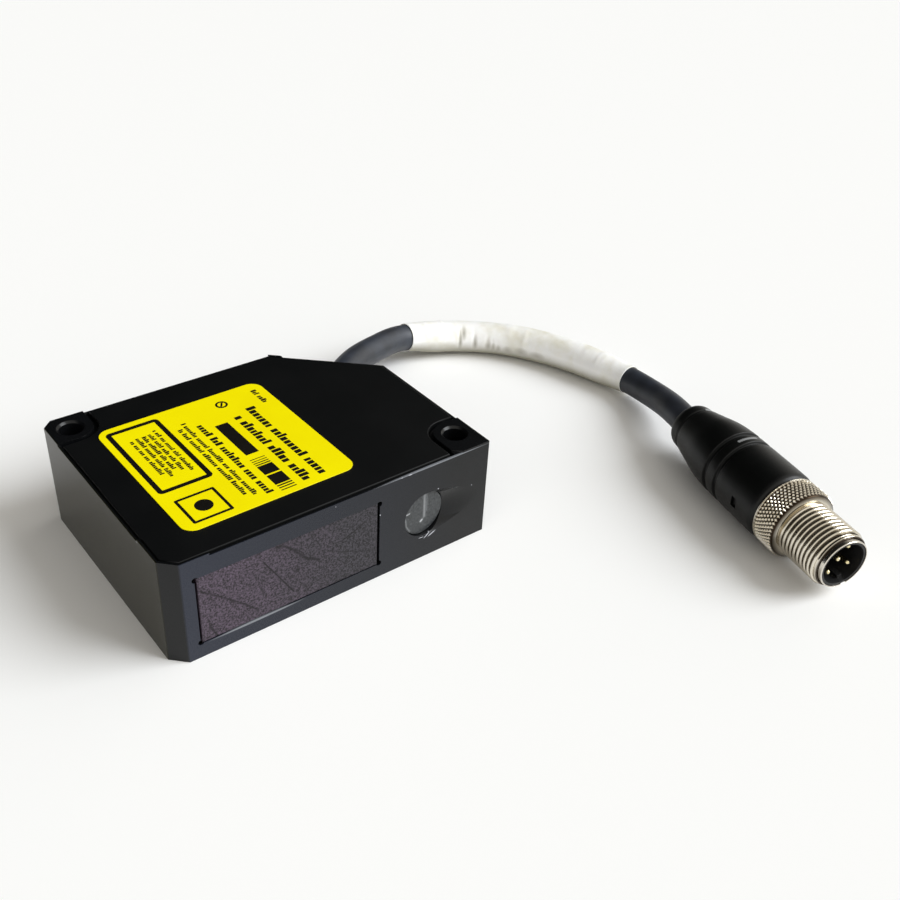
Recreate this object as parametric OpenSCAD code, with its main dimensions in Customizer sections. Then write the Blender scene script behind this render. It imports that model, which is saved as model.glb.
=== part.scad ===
// Optical distance sensor lying on its mounting face, with a short cable and a round plug.
// The origin is the middle of the housing's footprint on the surface it lies on.
// +X runs along the front face that holds the windows, +Y to the back, +Z up. Millimetres.

/* [Housing] */
// Length of the housing along its front face
body_l = 65; // [64:1:76]
// Depth of the housing from front to back
body_d = 50; // [49:1:60]
// Height of the housing's rim above its base
rim_h = 20.4; // [20.2:0.2:26]
// Height of the lugs, corner pads and cover above the rim
lug_rise = 0.4; // [0.3:0.1:0.8]
// Thickness of the side walls
wall_t = 2.6; // [2.4:0.1:3]
// Thickness of the floor
floor_t = 2; // [1.6:0.1:2.2]
// Chamfer of the front left upright edge
front_chamfer = 2.7; // [1.5:0.1:4]
// Chamfer of the back left upright edge
back_chamfer = 1.8; // [1:0.1:3]
// Length of the cut-off corner along the back
cut_l = 17.7; // [16:0.1:19]
// Length of the cut-off corner along the right side
cut_d = 16; // [15:0.5:17]

/* [Mounting lugs] */
// Diameter of the two mounting holes
hole_d = 4.3; // [3.2:0.1:5]
// Chamfer at both mouths of a mounting hole
hole_chamfer = 0.4; // [0.2:0.1:0.6]
// Radius of a lug's inner corner round its hole
lug_r = 4; // [3.4:0.1:4.6]
// Back lug hole, distance from the left face
back_hole_x = 4; // [3.8:0.1:5]
// Back lug hole, distance from the back face
back_hole_y = 4.2; // [4:0.1:5]
// Front lug hole, distance from the right face
front_hole_x = 3.8; // [3.6:0.1:4.2]
// Front lug hole, distance from the front face
front_hole_y = 5.6; // [5:0.1:6]

/* [Cover] */
// Thickness of the cover plate
cover_t = 2; // [1.6:0.1:2.4]
// Width of the rim that stands round the cover
rim_w = 0.5; // [0.4:0.1:0.8]
// Width of the groove between the rim and the cover
groove_w = 0.2; // [0.15:0.05:0.4]
// Width of the groove between a lug and the cover
lug_groove_w = 0.9; // [0.6:0.1:1.1]
// Thickness of the gasket under the cover
gasket_t = 0.4; // [0.3:0.1:0.6]
// Length of the raised corner pad along the front
pad_l = 7.8; // [5:0.1:12]
// Length of the raised corner pad along the left side
pad_d = 9.5; // [6:0.1:14]
// Length of the label along the housing
label_w = 33.2; // [28:0.2:34]
// Length of the label across the housing
label_h = 35.2; // [28:0.1:35.4]
// Thickness of the label
label_t = 0.12; // [0.08:0.01:0.2]
// Turn of the label on the cover, as it was stuck on
label_turn = 0.7; // [-3:0.1:3]

/* [Windows] */
// Drop of the optical axis below the middle of the housing's height
optic_drop = 0.3; // [-0.2:0.1:0.5]
// Width of the front face left between the two windows
window_web = 5.55; // [5.2:0.05:8]
// Height of the receiver window's pocket
receiver_h = 13.9; // [13:0.1:14.2]
// Distance from the left face to the receiver pocket
receiver_x = 4.85; // [4.4:0.05:5.4]
// Slit left at each end of the receiver pane
pane_slit = 0.4; // [0.3:0.05:0.6]
// Thickness of the receiver pane
pane_t = 1.5; // [1.2:0.1:1.6]
// Diameter of the emitter window
emitter_d = 9.4; // [8.6:0.1:9.6]
// Distance from the right face to the emitter's axis
emitter_x = 14.3; // [14:0.1:14.6]
// Tilt of the emitter window about the upright axis
emitter_tilt = 5.4; // [3:0.2:6]
// Thickness of the emitter window
emitter_t = 1.2; // [1:0.1:1.4]
// Distance from the emitter's axis to the far end of the relief beside it
relief_l = 12.4; // [10:0.2:13]

/* [Optics] */
// Diameter of the laser tube
tube_d = 7.4; // [7.2:0.1:7.6]
// Length of the laser tube
tube_l = 15.6; // [15:0.1:16]
// Diameter of the receiver lens
lens_d = 14; // [12:0.5:14]
// Height of the receiver lens between its two flats
lens_h = 9.2; // [8.4:0.1:9.4]
// Turn of the receiver lens towards the laser beam
lens_turn = 18; // [14:1:20]
// Distance from the receiver lens to the detector board
detector_y = 20; // [18:0.5:21]
// Thickness of the bench plate
bench_t = 1.4; // [1.2:0.1:1.6]

/* [Electronics] */
// Thickness of the circuit boards
board_t = 1.2; // [1:0.1:1.2]
// Room for the parts between the main board and the cover
board_room = 2.6; // [2.5:0.1:3]
// Distance from the middle of the housing forward to the main board's edge
board_front = 7; // [6:0.5:8]

/* [Cable] */
// Diameter of the cable
cable_d = 6.2; // [5.4:0.1:6.4]
// Outer diameter of the white marker sleeve
sleeve_d = 7.9; // [7.2:0.1:7.9]
// Diameter of the gland's flange
gland_d = 11.6; // [10.8:0.2:13]
// Length of the strain relief
relief_boot_l = 8; // [6:0.5:8]
// Offset of the gland from the middle of the cut-off corner
gland_shift = 1.2; // [0:0.1:2]

/* [Plug] */
// Largest diameter of the moulded grip
grip_d = 15.2; // [14.9:0.1:15.2]
// Length of the moulded grip
grip_l = 32.3; // [30:0.1:36]
// Diameter of the knurled part of the coupling ring
knurl_d = 15.1; // [13.8:0.1:15.1]
// Length of the knurled part of the coupling ring
knurl_l = 5.95; // [5.5:0.05:9]
// Outside diameter of the coupling thread
thread_d = 12; // [11.8:0.1:12.4]
// Length of the threaded part of the coupling ring
thread_l = 10.35; // [8:0.05:12]
// Diameter of the metal sleeve that the coupling ring turns on
shell_d = 10.3; // [10:0.1:10.6]
// Number of contacts on the outer circle
pin_count = 4; // [3:1:6]
// Diameter of a contact pin
pin_d = 1; // [0.8:0.1:1.2]

/* [Hidden] */
$fn = 64;

// Small reach past a face, so that a cut leaves no skin
past = 0.5;
// Clearance of a part in a seat that it stays still in
seat_gap = 0.05;
// Clearance of a running fit, on the radius
run_gap = 0.08;

// Outline of the housing seen from above, anticlockwise
outline = [
    [-body_l / 2, -body_d / 2 + front_chamfer],
    [-body_l / 2 + front_chamfer, -body_d / 2],
    [body_l / 2, -body_d / 2],
    [body_l / 2, body_d / 2 - cut_d],
    [body_l / 2 - cut_l, body_d / 2],
    [-body_l / 2 + back_chamfer, body_d / 2],
    [-body_l / 2, body_d / 2 - back_chamfer]];
top_z = rim_h + lug_rise;
cover_z = top_z - cover_t;
ledge_z = cover_z - gasket_t;
back_hole = [-body_l / 2 + back_hole_x, body_d / 2 - back_hole_y];
front_hole = [body_l / 2 - front_hole_x, -body_d / 2 + front_hole_y];
// Shoulder that each lug post keeps under the cover
post_shoulder = lug_groove_w + 1.3;
// Depth of the groove round a lug, and the gap between its floor's step and the cover
lug_groove_z = top_z - 1;
lug_step_gap = 0.2;
// Corner taken off the front lug where the rim runs into it
lug_nick = [1.9, 1.4];
// Length of the small pad where the back meets the cut-off corner
back_pad_l = 2;

// Receiver pocket and pane
optic_z = rim_h / 2 - optic_drop;
receiver_w = body_l - receiver_x - emitter_x - emitter_d / 2 - window_web;
receiver_cx = -body_l / 2 + receiver_x + receiver_w / 2;
pane_recess = 0.1;
pocket_d = pane_t + pane_recess;
// Lip behind the pane, and the drill that clears the pocket's corners
pane_lip = 1;
corner_drill_r = 0.55;

// Emitter window, its recess and the boss behind it
emitter_cx = body_l / 2 - emitter_x;
emitter_recess = 0.35;
emitter_lip = 0.9;
boss_wall = 1.6;
boss_y = 1.3;
// Depth of the recess at the middle of the tilted window
emitter_depth = emitter_recess + emitter_d / 2 * sin(emitter_tilt);
// Relief beside the emitter: a shallow round cut that runs out on the front face
relief_r = 7;
relief_angle = 9.5;
relief_in = 11.2;

// Bench, bosses and screws
boss_h = 1.2;
boss_r = 2.4;
bench_z = floor_t + boss_h;
bench_top = bench_z + bench_t;
screw_r = 1.25;
screw_head_r = 2.1;
screw_head_h = 1.3;
screw_depth = 2;
lens_pos = [receiver_cx, -body_d / 2 + 9.6];
mount_t = 3.4;
mount_w = 19;
mount_roof = 0.9;
lens_core = 2.6;
lens_r = 12;
clip_t = 0.4;
clip_over = 1;
saddle_y = [12.4, 19.4];
saddle_wall = 1.4;
detector_w = 18;
detector_turn = 30;
detector_pos = lens_pos + detector_y * [-sin(lens_turn), cos(lens_turn)];
bracket_t = 2.2;
// Line detector, the slot of its glass lid, and the pin strip above its board
detector_size = [13, 1.6, 4.8];
detector_slot = [10, 0.4, 2];
link_size = [10.8, 1.0, 1.4];
bench_holes = [[-body_l / 2 + 8, -body_d / 2 + 5.6], [2.5, -body_d / 2 + 7.4], [10, 8]];
post_gap = 0.5;

// Laser tube, from its front end to the small board behind it
tube_y = -body_d / 2 + wall_t + boss_y + 0.2;
tube_end = tube_y + tube_l;
tube_wall = 0.75;
diode_r = 2.8;
diode_t = 1.2;
can_r = 2.3;
can_h = 2.4;
lead_r = 0.25;
diode_leads = 2;
laser_board_t = 0.8;

// Main board and what stands on it
board_z = cover_z - board_room - board_t;
board_top = board_z + board_t;
board_edge = 0.6;
detector_h = board_z - bench_top - link_size.z;
post_r = 2.3;
board_holes = [[-body_l / 2 + 6.2, 10], [-body_l / 2 + 6.2, -3.4],
    [body_l / 2 - 5.8, -3.8], [3, body_d / 2 - 6.4]];
// Distances from the back and right faces to the corners of the board's slanted edge
board_cut = [26, 27.5];
board_corner_x = body_l / 2 - board_cut.x;
board_corner_y = body_d / 2 - board_cut.y;
small_screw_r = 0.95;
small_head_r = 1.8;
small_head_h = 1.1;
small_depth = 3;
// Chips, each with its near corner on the board and its size
chips = [[[-12, -3], [10, 10, 1.3]], [[2.5, -4.5], [7, 7, 1.1]], [[-10, 11], [6, 5, 1.2]]];
capacitor_size = [4.2, 2.8, 2.1];
capacitor_places = [[-19, 8], [-19, 3], [-19, -2], [0, 11], [14, -4]];

// Gland on the cut-off corner
cut_dir = [cut_l, -cut_d] / norm([cut_l, cut_d]);
cut_out = [cut_d, cut_l] / norm([cut_l, cut_d]);
gland_pos = [body_l / 2 - cut_l / 2, body_d / 2 - cut_d / 2] + gland_shift * cut_dir;
gland_z = rim_h / 2;
cut_turn = atan2(cut_out.y, cut_out.x);
gland_neck_r = 4.6;
gland_flange_t = 1.9;
nut_flats = 12;
nut_t = 2.4;
gland_neck_l = wall_t + nut_t + 0.6;
cord_gap = 0.15;
cable_r = cable_d / 2;
wire_r = 0.5;
wire_count = 5;
wire_pitch = 1.5;
// How far the conductors start inside the gland's neck
wire_in = 0.1;
wire_sides = 8;
wire_steps = 6;

// Wire header, beside the main board's slanted edge
header_size = [4.4, 8.6, 2.4];
header_inset = 0.8;
edge_a = [body_l / 2 - wall_t - board_edge, board_corner_y];
edge_b = [board_corner_x, body_d / 2 - wall_t - board_edge];
edge_out = [edge_b.y - edge_a.y, edge_a.x - edge_b.x] / norm(edge_b - edge_a);
header_pos = (edge_a + edge_b) / 2 - edge_out * (header_size.x / 2 + header_inset);

// Route of the cable, from the gland's inner end to the end of the plug's bore
route = [[20.9, 12.2, 10.2], [29, 21.1, 10.2], [31.2, 23.5, 10.2], [38.6, 29.3, 9.5],
    [47.5, 33.7, 8.2], [59.3, 37.7, 6], [66.4, 36.6, 4.7], [72.3, 34.2, 4.2], [81.3, 26.8, 4.1],
    [88, 16.2, 4.1], [91.7, 5.3, 4.1], [93.4, -5, 4.2], [92.6, -12, 4.8], [90.7, -17.7, 6],
    [88.03, -23.45, 7.4], [86.63, -27.5, 7.6], [84.7, -35, 7.6]];
// Route points between which the marker sleeve sits
sleeve_from = 5;
sleeve_to = 11;
// Sides of the cable, and rings to each stretch of the route
cord_sides = 12;
cord_rings = 2;

// Plug: where its rear end lies, which way it points, and its inner stations
plug_pos = [86.18, -29.22];
plug_turn = 255.6;
plug_bore_l = 6;
stem_r = 4.2;
stem_l = 9;
flange_r = 6.2;
flange_l = 2;
ring_gap = 0.15;
shell_wall = 0.25;
shell_stem_l = 4;
shell_out = 1;
cavity_wall = 0.45;
cavity_l = 6.5;
key_w = 1;
key_turn = 15;
pin_circle_r = 3.1;
pin_recess = 1.2;
pin_root = 4;
knurl_z = grip_l + ring_gap;
thread_z = knurl_z + knurl_l;
ring_end = thread_z + thread_l;
shell_end = ring_end + shell_out;

// Point where two lines through p and q, along u and v, meet
function cross_point(p, u, q, v) =
    p + u * ((q - p).x * v.y - (q - p).y * v.x) / (u.x * v.y - u.y * v.x);
// The outline moved inwards by d, for a convex anticlockwise outline
function inset(pts, d) = [for (i = [0:len(pts) - 1])
    let (a = pts[(i + len(pts) - 1) % len(pts)], b = pts[i], c = pts[(i + 1) % len(pts)],
        u = (b - a) / norm(b - a), v = (c - b) / norm(c - b))
    cross_point(b + d * [-u.y, u.x], u, b + d * [-v.y, v.x], v)];

// Tangent of the route at point i, weighted by the lengths on both sides
function route_tangent(p, i) =
    i == 0 ? (p[1] - p[0]) / norm(p[1] - p[0])
    : i == len(p) - 1 ? (p[i] - p[i - 1]) / norm(p[i] - p[i - 1])
    : let (a = norm(p[i] - p[i - 1]), b = norm(p[i + 1] - p[i]),
        m = (p[i + 1] - p[i]) / b * a + (p[i] - p[i - 1]) / a * b)
      m / (a + b);
// Point on the smooth curve between points i and i + 1, at the share t
function route_point(p, i, t) =
    let (h = norm(p[i + 1] - p[i]), t2 = t * t, t3 = t2 * t)
    (2 * t3 - 3 * t2 + 1) * p[i] + (t3 - 2 * t2 + t) * h * route_tangent(p, i)
    + (3 * t2 - 2 * t3) * p[i + 1] + (t3 - t2) * h * route_tangent(p, i + 1);
// All points of the smooth curve between route points i0 and i1
function smooth(p, i0, i1, steps) = [
    for (i = [i0:i1 - 1], k = [0:steps - 1]) route_point(p, i, k / steps), p[i1]];
// Direction of a polyline at point i
function heading(p, i) =
    let (d = p[min(i + 1, len(p) - 1)] - p[max(i - 1, 0)]) d / norm(d);
// One ring of a tube of radius r round a polyline's point i, kept level
function ring_points(p, i, r, sides) =
    let (d = heading(p, i), side = [-d.y, d.x, 0] / norm([d.x, d.y]), up = cross(d, side))
    [for (k = [0:sides - 1])
        p[i] + r * (cos(360 * k / sides) * side + sin(360 * k / sides) * up)];
function ring_all(p, r, sides) = [for (i = [0:len(p) - 1]) each ring_points(p, i, r, sides)];
// Side faces of a swept tube of n rings, whose first point has the number first
function tube_sides(n, sides, first, outward) = [
    for (i = [0:n - 2], k = [0:sides - 1])
        let (a = first + i * sides + k, b = first + i * sides + (k + 1) % sides)
        outward ? [a, b, b + sides, a + sides] : [a, a + sides, b + sides, b]];

module slab(pts, z0, z1) {
    translate([0, 0, z0])
        linear_extrude(z1 - z0)
            polygon(pts);
}

// Upright cylinder from z0 to z1 at a place in plan
module post(at, r, z0, z1) {
    translate([at.x, at.y, z0])
        cylinder(r = r, h = z1 - z0);
}

// Box between two corners
module block(lo, hi) {
    translate(lo)
        cube(hi - lo);
}

// Cylinder that runs back from the front face, from depth y0 to y1
module front_drill(x, z, r, y0, y1) {
    translate([x, -body_d / 2 + y0, z])
        rotate([-90, 0, 0])
            cylinder(r = r, h = y1 - y0);
}

// Area that a lug takes up in plan, larger by grow on its two inner sides
module lug_area(hole, corner, grow) {
    r = lug_r + grow;
    sx = sign(hole.x - corner.x);
    sy = sign(hole.y - corner.y);
    translate(hole)
        circle(r = r);
    from = [min(corner.x, hole.x), min(corner.y, hole.y)];
    span = [abs(hole.x - corner.x), abs(hole.y - corner.y)];
    translate([from.x, sy > 0 ? from.y : from.y - r])
        square([span.x, span.y + r]);
    translate([sx > 0 ? from.x : from.x - r, from.y])
        square([span.x + r, span.y]);
}

module both_lugs(grow) {
    intersection() {
        polygon(outline);
        union() {
            lug_area(back_hole, [-body_l / 2, body_d / 2], grow);
            lug_area(front_hole, [body_l / 2, -body_d / 2], grow);
        }
    }
}

// Lugs at their full height, with the nick where the front rim runs out
module lug_tops() {
    x0 = front_hole.x - lug_r;
    difference() {
        both_lugs(0);
        translate([x0, -body_d / 2])
            polygon([[-past, -past], [lug_nick.x + past, -past], [-past, lug_nick.y + past]]);
    }
}

// Raised pads on the rim, at the front left corner and where the back ends
module rim_pads() {
    intersection() {
        difference() {
            polygon(outline);
            polygon(inset(outline, rim_w));
        }
        union() {
            translate([-body_l / 2, -body_d / 2])
                square([pad_l, pad_d]);
            translate([body_l / 2 - cut_l, body_d / 2 - back_pad_l - past])
                square([back_pad_l, back_pad_l + past]);
        }
    }
}

module mounting_hole(at) {
    r = hole_d / 2;
    post(at, r, -past, top_z + past);
    translate([at.x, at.y, -hole_chamfer])
        cylinder(r1 = r + 2 * hole_chamfer, r2 = r, h = 2 * hole_chamfer);
    translate([at.x, at.y, top_z - hole_chamfer])
        cylinder(r1 = r, r2 = r + 2 * hole_chamfer, h = 2 * hole_chamfer);
}

// Milled pocket of the receiver pane, with drilled corners and a way through
module receiver_pocket() {
    x0 = receiver_cx - receiver_w / 2;
    z0 = optic_z - receiver_h / 2;
    front = -body_d / 2;
    block([x0, front - past, z0], [x0 + receiver_w, front + pocket_d, z0 + receiver_h]);
    block([x0 + pane_lip, front, z0 + pane_lip],
        [x0 + receiver_w - pane_lip, front + wall_t + past, z0 + receiver_h - pane_lip]);
    for (sx = [-1, 1], sz = [-1, 1])
        front_drill(receiver_cx + sx * (receiver_w / 2 - pane_slit / 4),
            optic_z + sz * (receiver_h / 2 - corner_drill_r / 2), corner_drill_r, -past, pocket_d);
}

// Frame on the middle of the emitter window's front face, turned with the window
module at_emitter() {
    translate([emitter_cx, -body_d / 2 + emitter_depth, optic_z])
        rotate([0, 0, emitter_tilt])
            rotate([-90, 0, 0])
                children();
}

// Round seat of the emitter window, the way through and the flat relief beside it
module emitter_cut() {
    at_emitter() {
        translate([0, 0, -3])
            cylinder(r = emitter_d / 2, h = 3 + emitter_t);
        cylinder(r = emitter_d / 2 - emitter_lip, h = wall_t + boss_y + past);
    }
    translate([emitter_cx + relief_l, -body_d / 2, optic_z])
        rotate([0, 0, -relief_angle])
            translate([-relief_in, -relief_r, 0])
                rotate([0, 90, 0])
                    cylinder(r = relief_r, h = 2 * relief_in);
}

// Frame on the gland's seat: local +Z points out of the cut-off corner
module at_gland() {
    translate([gland_pos.x, gland_pos.y, gland_z])
        rotate([0, 90, cut_turn])
            children();
}

module housing() {
    color("#2a2c2f")
    difference() {
        union() {
            difference() {
                slab(outline, 0, rim_h);
                slab(inset(outline, wall_t), floor_t, rim_h + past);
                slab(inset(outline, rim_w), ledge_z, rim_h + past);
            }
            linear_extrude(ledge_z)
                both_lugs(post_shoulder);
            linear_extrude(lug_groove_z)
                both_lugs(lug_groove_w - lug_step_gap);
            linear_extrude(rim_h)
                both_lugs(0);
            linear_extrude(top_z)
                lug_tops();
            translate([0, 0, rim_h - past])
                linear_extrude(lug_rise + past)
                    rim_pads();
            front_drill(emitter_cx, optic_z, emitter_d / 2 + boss_wall, wall_t - past,
                wall_t + boss_y);
            for (at = bench_holes)
                post(at, boss_r, floor_t - past, bench_z);
            for (at = board_holes)
                post(at, post_r, floor_t - past, board_z);
        }
        mounting_hole(back_hole);
        mounting_hole(front_hole);
        receiver_pocket();
        emitter_cut();
        for (at = bench_holes)
            post(at, screw_r + seat_gap, bench_z - screw_depth, bench_z + past);
        for (at = board_holes)
            post(at, small_screw_r + seat_gap, board_z - small_depth - 1, board_z + past);
        at_gland()
            translate([0, 0, -wall_t - past])
                cylinder(r = gland_neck_r + seat_gap, h = wall_t + 2 * past);
    }
}

// Flat cover plate, cut out round both lugs
module cover() {
    color("#17181a")
    translate([0, 0, cover_z])
        linear_extrude(cover_t)
            difference() {
                polygon(inset(outline, rim_w + groove_w));
                both_lugs(lug_groove_w);
            }
}

// Flat ring of rubber between the ledge and the cover
module cover_gasket() {
    color("#101010")
    translate([0, 0, ledge_z])
        linear_extrude(gasket_t)
            difference() {
                polygon(inset(outline, rim_w + groove_w + 0.1));
                both_lugs(lug_groove_w + 0.1);
                difference() {
                    polygon(inset(outline, wall_t));
                    both_lugs(post_shoulder);
                }
            }
}

// Printed label with round corners
module label() {
    corner = 2.4;
    half = [label_w / 2 - corner, label_h / 2 - corner];
    color("#f4d800")
    translate([receiver_cx + 0.8, -1, top_z])
        rotate([0, 0, label_turn])
            linear_extrude(label_t)
                union() {
                    square([label_w, 2 * half.y], center = true);
                    square([2 * half.x, label_h], center = true);
                    for (sx = [-1, 1], sy = [-1, 1])
                        translate([sx * half.x, sy * half.y])
                            circle(r = corner);
                }
}

// Flat pane glued into its pocket
module receiver_window() {
    w = receiver_w - 2 * pane_slit;
    h = receiver_h - 2 * seat_gap;
    y = -body_d / 2 + pane_recess;
    color("#4a3f4c")
    block([receiver_cx - w / 2, y, optic_z - h / 2], [receiver_cx + w / 2, y + pane_t, optic_z + h / 2]);
}

module emitter_window() {
    color("#7f8488")
    at_emitter()
        cylinder(r = emitter_d / 2 - seat_gap, h = emitter_t);
}

// Frame on the receiver lens: local +Y is the lens axis, pointing into the housing
module at_lens() {
    translate([lens_pos.x, lens_pos.y, 0])
        rotate([0, 0, lens_turn])
            children();
}

// Frame on the front face of the detector board
module at_detector() {
    translate([detector_pos.x, detector_pos.y, 0])
        rotate([0, 0, detector_turn])
            children();
}

// Round lens blank between its two flats, larger by grow
module lens_blank(y0, y1, grow) {
    intersection() {
        translate([0, y0, optic_z])
            rotate([-90, 0, 0])
                cylinder(r = lens_d / 2 + grow, h = y1 - y0);
        block([-lens_d, y0, optic_z - lens_h / 2 - grow], [lens_d, y1, optic_z + lens_h / 2 + grow]);
    }
}

// Cast carrier that holds the laser tube, the lens and the detector in line
module optical_bench() {
    saddle_w = tube_d / 2 + saddle_wall;
    front = -body_d / 2;
    color("#8d9092")
    difference() {
        union() {
            slab([[-body_l / 2 + 5, front + 3.2], [5.5, front + 3.2], [5.5, front + 12],
                [emitter_cx + saddle_w, front + saddle_y[0]], [emitter_cx + saddle_w, front + 20],
                [13, 11], [-body_l / 2 + 12.5, 11], [-body_l / 2 + 5, 0.5]],
                bench_z, bench_top);
            at_lens()
                block([-mount_w / 2, -mount_t / 2, bench_z + bench_t / 2],
                    [mount_w / 2, mount_t / 2, optic_z + lens_h / 2 + mount_roof]);
            block([emitter_cx - saddle_w, front + saddle_y[0], bench_z + bench_t / 2],
                [emitter_cx + saddle_w, front + saddle_y[1], optic_z]);
            at_detector()
                block([-detector_w / 2, board_t, bench_z + bench_t / 2],
                    [detector_w / 2, board_t + bracket_t, bench_top + detector_h]);
        }
        at_lens() {
            lens_blank(-mount_t, mount_t / 2 - 1, seat_gap);
            translate([0, 0, optic_z])
                rotate([-90, 0, 0])
                    cylinder(r = lens_h / 2 - 0.3, h = 2 * mount_t);
        }
        front_drill(emitter_cx, optic_z, tube_d / 2 + seat_gap, saddle_y[0] - past,
            saddle_y[1] + past);
        for (at = bench_holes)
            post(at, screw_r + 0.2, bench_z - past, bench_top + past);
        for (at = board_holes)
            post(at, post_r + post_gap, bench_z - past, bench_top + past);
    }
}

// Pan head screw with its shank down, the underside of its head at z
module pan_screw(at, z, r, head_r, head_h, depth) {
    drive = r * 0.7;
    difference() {
        union() {
            post(at, r, z - depth, z + past);
            post(at, head_r, z, z + head_h);
        }
        translate([at.x, at.y, z + head_h / 2])
            cylinder(r = drive, h = head_h, $fn = 6);
    }
}

module bench_screws() {
    color("#b9bcbf")
    for (at = bench_holes)
        pan_screw(at, bench_top, screw_r, screw_head_r, screw_head_h, bench_t + screw_depth - 0.2);
}

// Lens with a round front and a flat back that sits against the step in its mount
module receiver_lens() {
    back = mount_t / 2 - 1;
    color("#bfe3ea")
    at_lens()
        intersection() {
            lens_blank(back - lens_core, back, 0);
            translate([0, back - lens_core + lens_r, optic_z])
                sphere(r = lens_r);
        }
}

// Spring clip that holds the lens in its mount
module lens_clip() {
    y0 = -mount_t / 2 - clip_t;
    z1 = optic_z + lens_h / 2 + mount_roof;
    half = lens_d / 2 + clip_over;
    color("#c8cacc")
    at_lens() {
        difference() {
            block([-half, y0, bench_top + clip_t / 2], [half, -mount_t / 2, z1]);
            translate([0, y0 - past, optic_z])
                rotate([-90, 0, 0])
                    cylinder(r = lens_h / 2 - 2 * clip_t, h = clip_t + 2 * past);
        }
        block([-half / 2, y0, z1], [half / 2, mount_t / 2, z1 + clip_t]);
    }
}

module detector_board() {
    color("#1f5a3a")
    at_detector()
        block([-detector_w / 2, 0, bench_top], [detector_w / 2, board_t, bench_top + detector_h]);
}

// Line detector with its glass lid, soldered to the front of its board
module detector_chip() {
    color("#2b2b30")
    at_detector()
        difference() {
            block([-detector_size.x / 2, -detector_size.y, optic_z - detector_size.z / 2],
                [detector_size.x / 2, 0, optic_z + detector_size.z / 2]);
            block([-detector_slot.x / 2, -detector_size.y - past, optic_z - detector_slot.z / 2],
                [detector_slot.x / 2, detector_slot.y - detector_size.y,
                    optic_z + detector_slot.z / 2]);
        }
}

// Pin strip that joins the detector board to the underside of the main board
module link_header() {
    half = [link_size.x, board_t + link_size.y] / 2;
    color("#202020")
    at_detector()
        translate([0, board_t / 2, bench_top + detector_h])
            block([-half.x, -half.y, 0], [half.x, half.y, link_size.z]);
}

// Turned tube with the collimator in front and the diode pressed in behind
module laser_tube() {
    r = tube_d / 2;
    color("#a6874e")
    translate([emitter_cx, tube_y, optic_z])
        rotate([-90, 0, 0])
            rotate_extrude()
                polygon([[r - tube_wall, 0], [r, 0], [r, tube_l], [diode_r + seat_gap, tube_l],
                    [diode_r + seat_gap, tube_l - diode_t], [can_r + seat_gap, tube_l - diode_t],
                    [can_r + seat_gap, tube_l - diode_t - can_h], [1.6, tube_l - diode_t - can_h],
                    [1.6, 4.4], [r - tube_wall, 4.4]]);
}

module collimator_lens() {
    r = tube_d / 2 - tube_wall - seat_gap;
    color("#bfe3ea")
    translate([emitter_cx, tube_y + 4.4, optic_z])
        rotate([90, 0, 0])
            intersection() {
                cylinder(r = r, h = 2.4);
                translate([0, 0, 2.4 - 7])
                    sphere(r = 7);
            }
}

// Slotted ring that is screwed in front of the collimator
module collimator_ring() {
    r = tube_d / 2 - tube_wall - seat_gap;
    color("#3b3b3b")
    translate([emitter_cx, tube_y + 0.6, optic_z])
        rotate([-90, 0, 0])
            difference() {
                cylinder(r = r, h = 1.6);
                translate([0, 0, -past])
                    cylinder(r = r - 0.9, h = 3);
                translate([-r - 1, -0.4, -past])
                    cube([2 * r + 2, 0.8, 1]);
            }
}

// Laser diode: flange, can and three leads
module laser_diode() {
    color("#c9b46a")
    translate([emitter_cx, tube_end, optic_z])
        rotate([90, 0, 0]) {
            cylinder(r = diode_r, h = diode_t);
            translate([0, 0, diode_t - seat_gap])
                cylinder(r = can_r, h = can_h);
            for (a = [90, 210, 330])
                rotate([0, 0, a])
                    translate([1.3, 0, -diode_leads])
                        cylinder(r = lead_r, h = diode_leads + seat_gap);
        }
}

// Round driver board, soldered onto the diode's leads
module laser_board() {
    color("#1f5a3a")
    translate([emitter_cx, tube_end + 0.6, optic_z])
        rotate([-90, 0, 0])
            difference() {
                cylinder(r = tube_d / 2, h = laser_board_t);
                for (a = [90, 210, 330])
                    rotate([0, 0, -a])
                        translate([1.3, 0, -past])
                            cylinder(r = lead_r + 0.02, h = 3);
            }
}

// Three stiff leads up to the main board
module laser_leads() {
    y = tube_end + 0.6 + laser_board_t + lead_r;
    color("#c8cacc")
    for (dx = [-1.8, 0, 1.8])
        post([emitter_cx + dx, y], lead_r, optic_z + 2, board_z);
}

module main_board() {
    inner = wall_t + board_edge;
    x = body_l / 2 - inner;
    y = body_d / 2 - inner;
    step = post_shoulder + lug_r + board_edge;
    color("#1f5a3a")
    difference() {
        slab([[-x, -board_front], [x, -board_front], [x, board_corner_y], [board_corner_x, y],
            [back_hole.x + step, y], [back_hole.x + step, back_hole.y - step],
            [-x, back_hole.y - step]], board_z, board_top);
        for (at = board_holes)
            post(at, small_screw_r + 0.15, board_z - past, board_top + past);
    }
}

// Square chips on the main board
module processor_chips() {
    color("#26262a")
    for (chip = chips)
        translate([chip[0].x, chip[0].y, board_top])
            cube(chip[1]);
}

// Moulded capacitors and coils
module capacitors() {
    color("#b98a2e")
    for (at = capacitor_places)
        translate([at.x, at.y, board_top])
            cube(capacitor_size);
}

module wire_header() {
    color("#e8e4da")
    translate([header_pos.x, header_pos.y, board_top])
        rotate([0, 0, atan2(edge_out.y, edge_out.x)])
            translate([-header_size.x / 2, -header_size.y / 2, 0])
                cube(header_size);
}

module board_screws() {
    color("#b9bcbf")
    for (at = board_holes)
        pan_screw(at, board_top, small_screw_r, small_head_r, small_head_h, board_t + small_depth);
}

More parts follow.
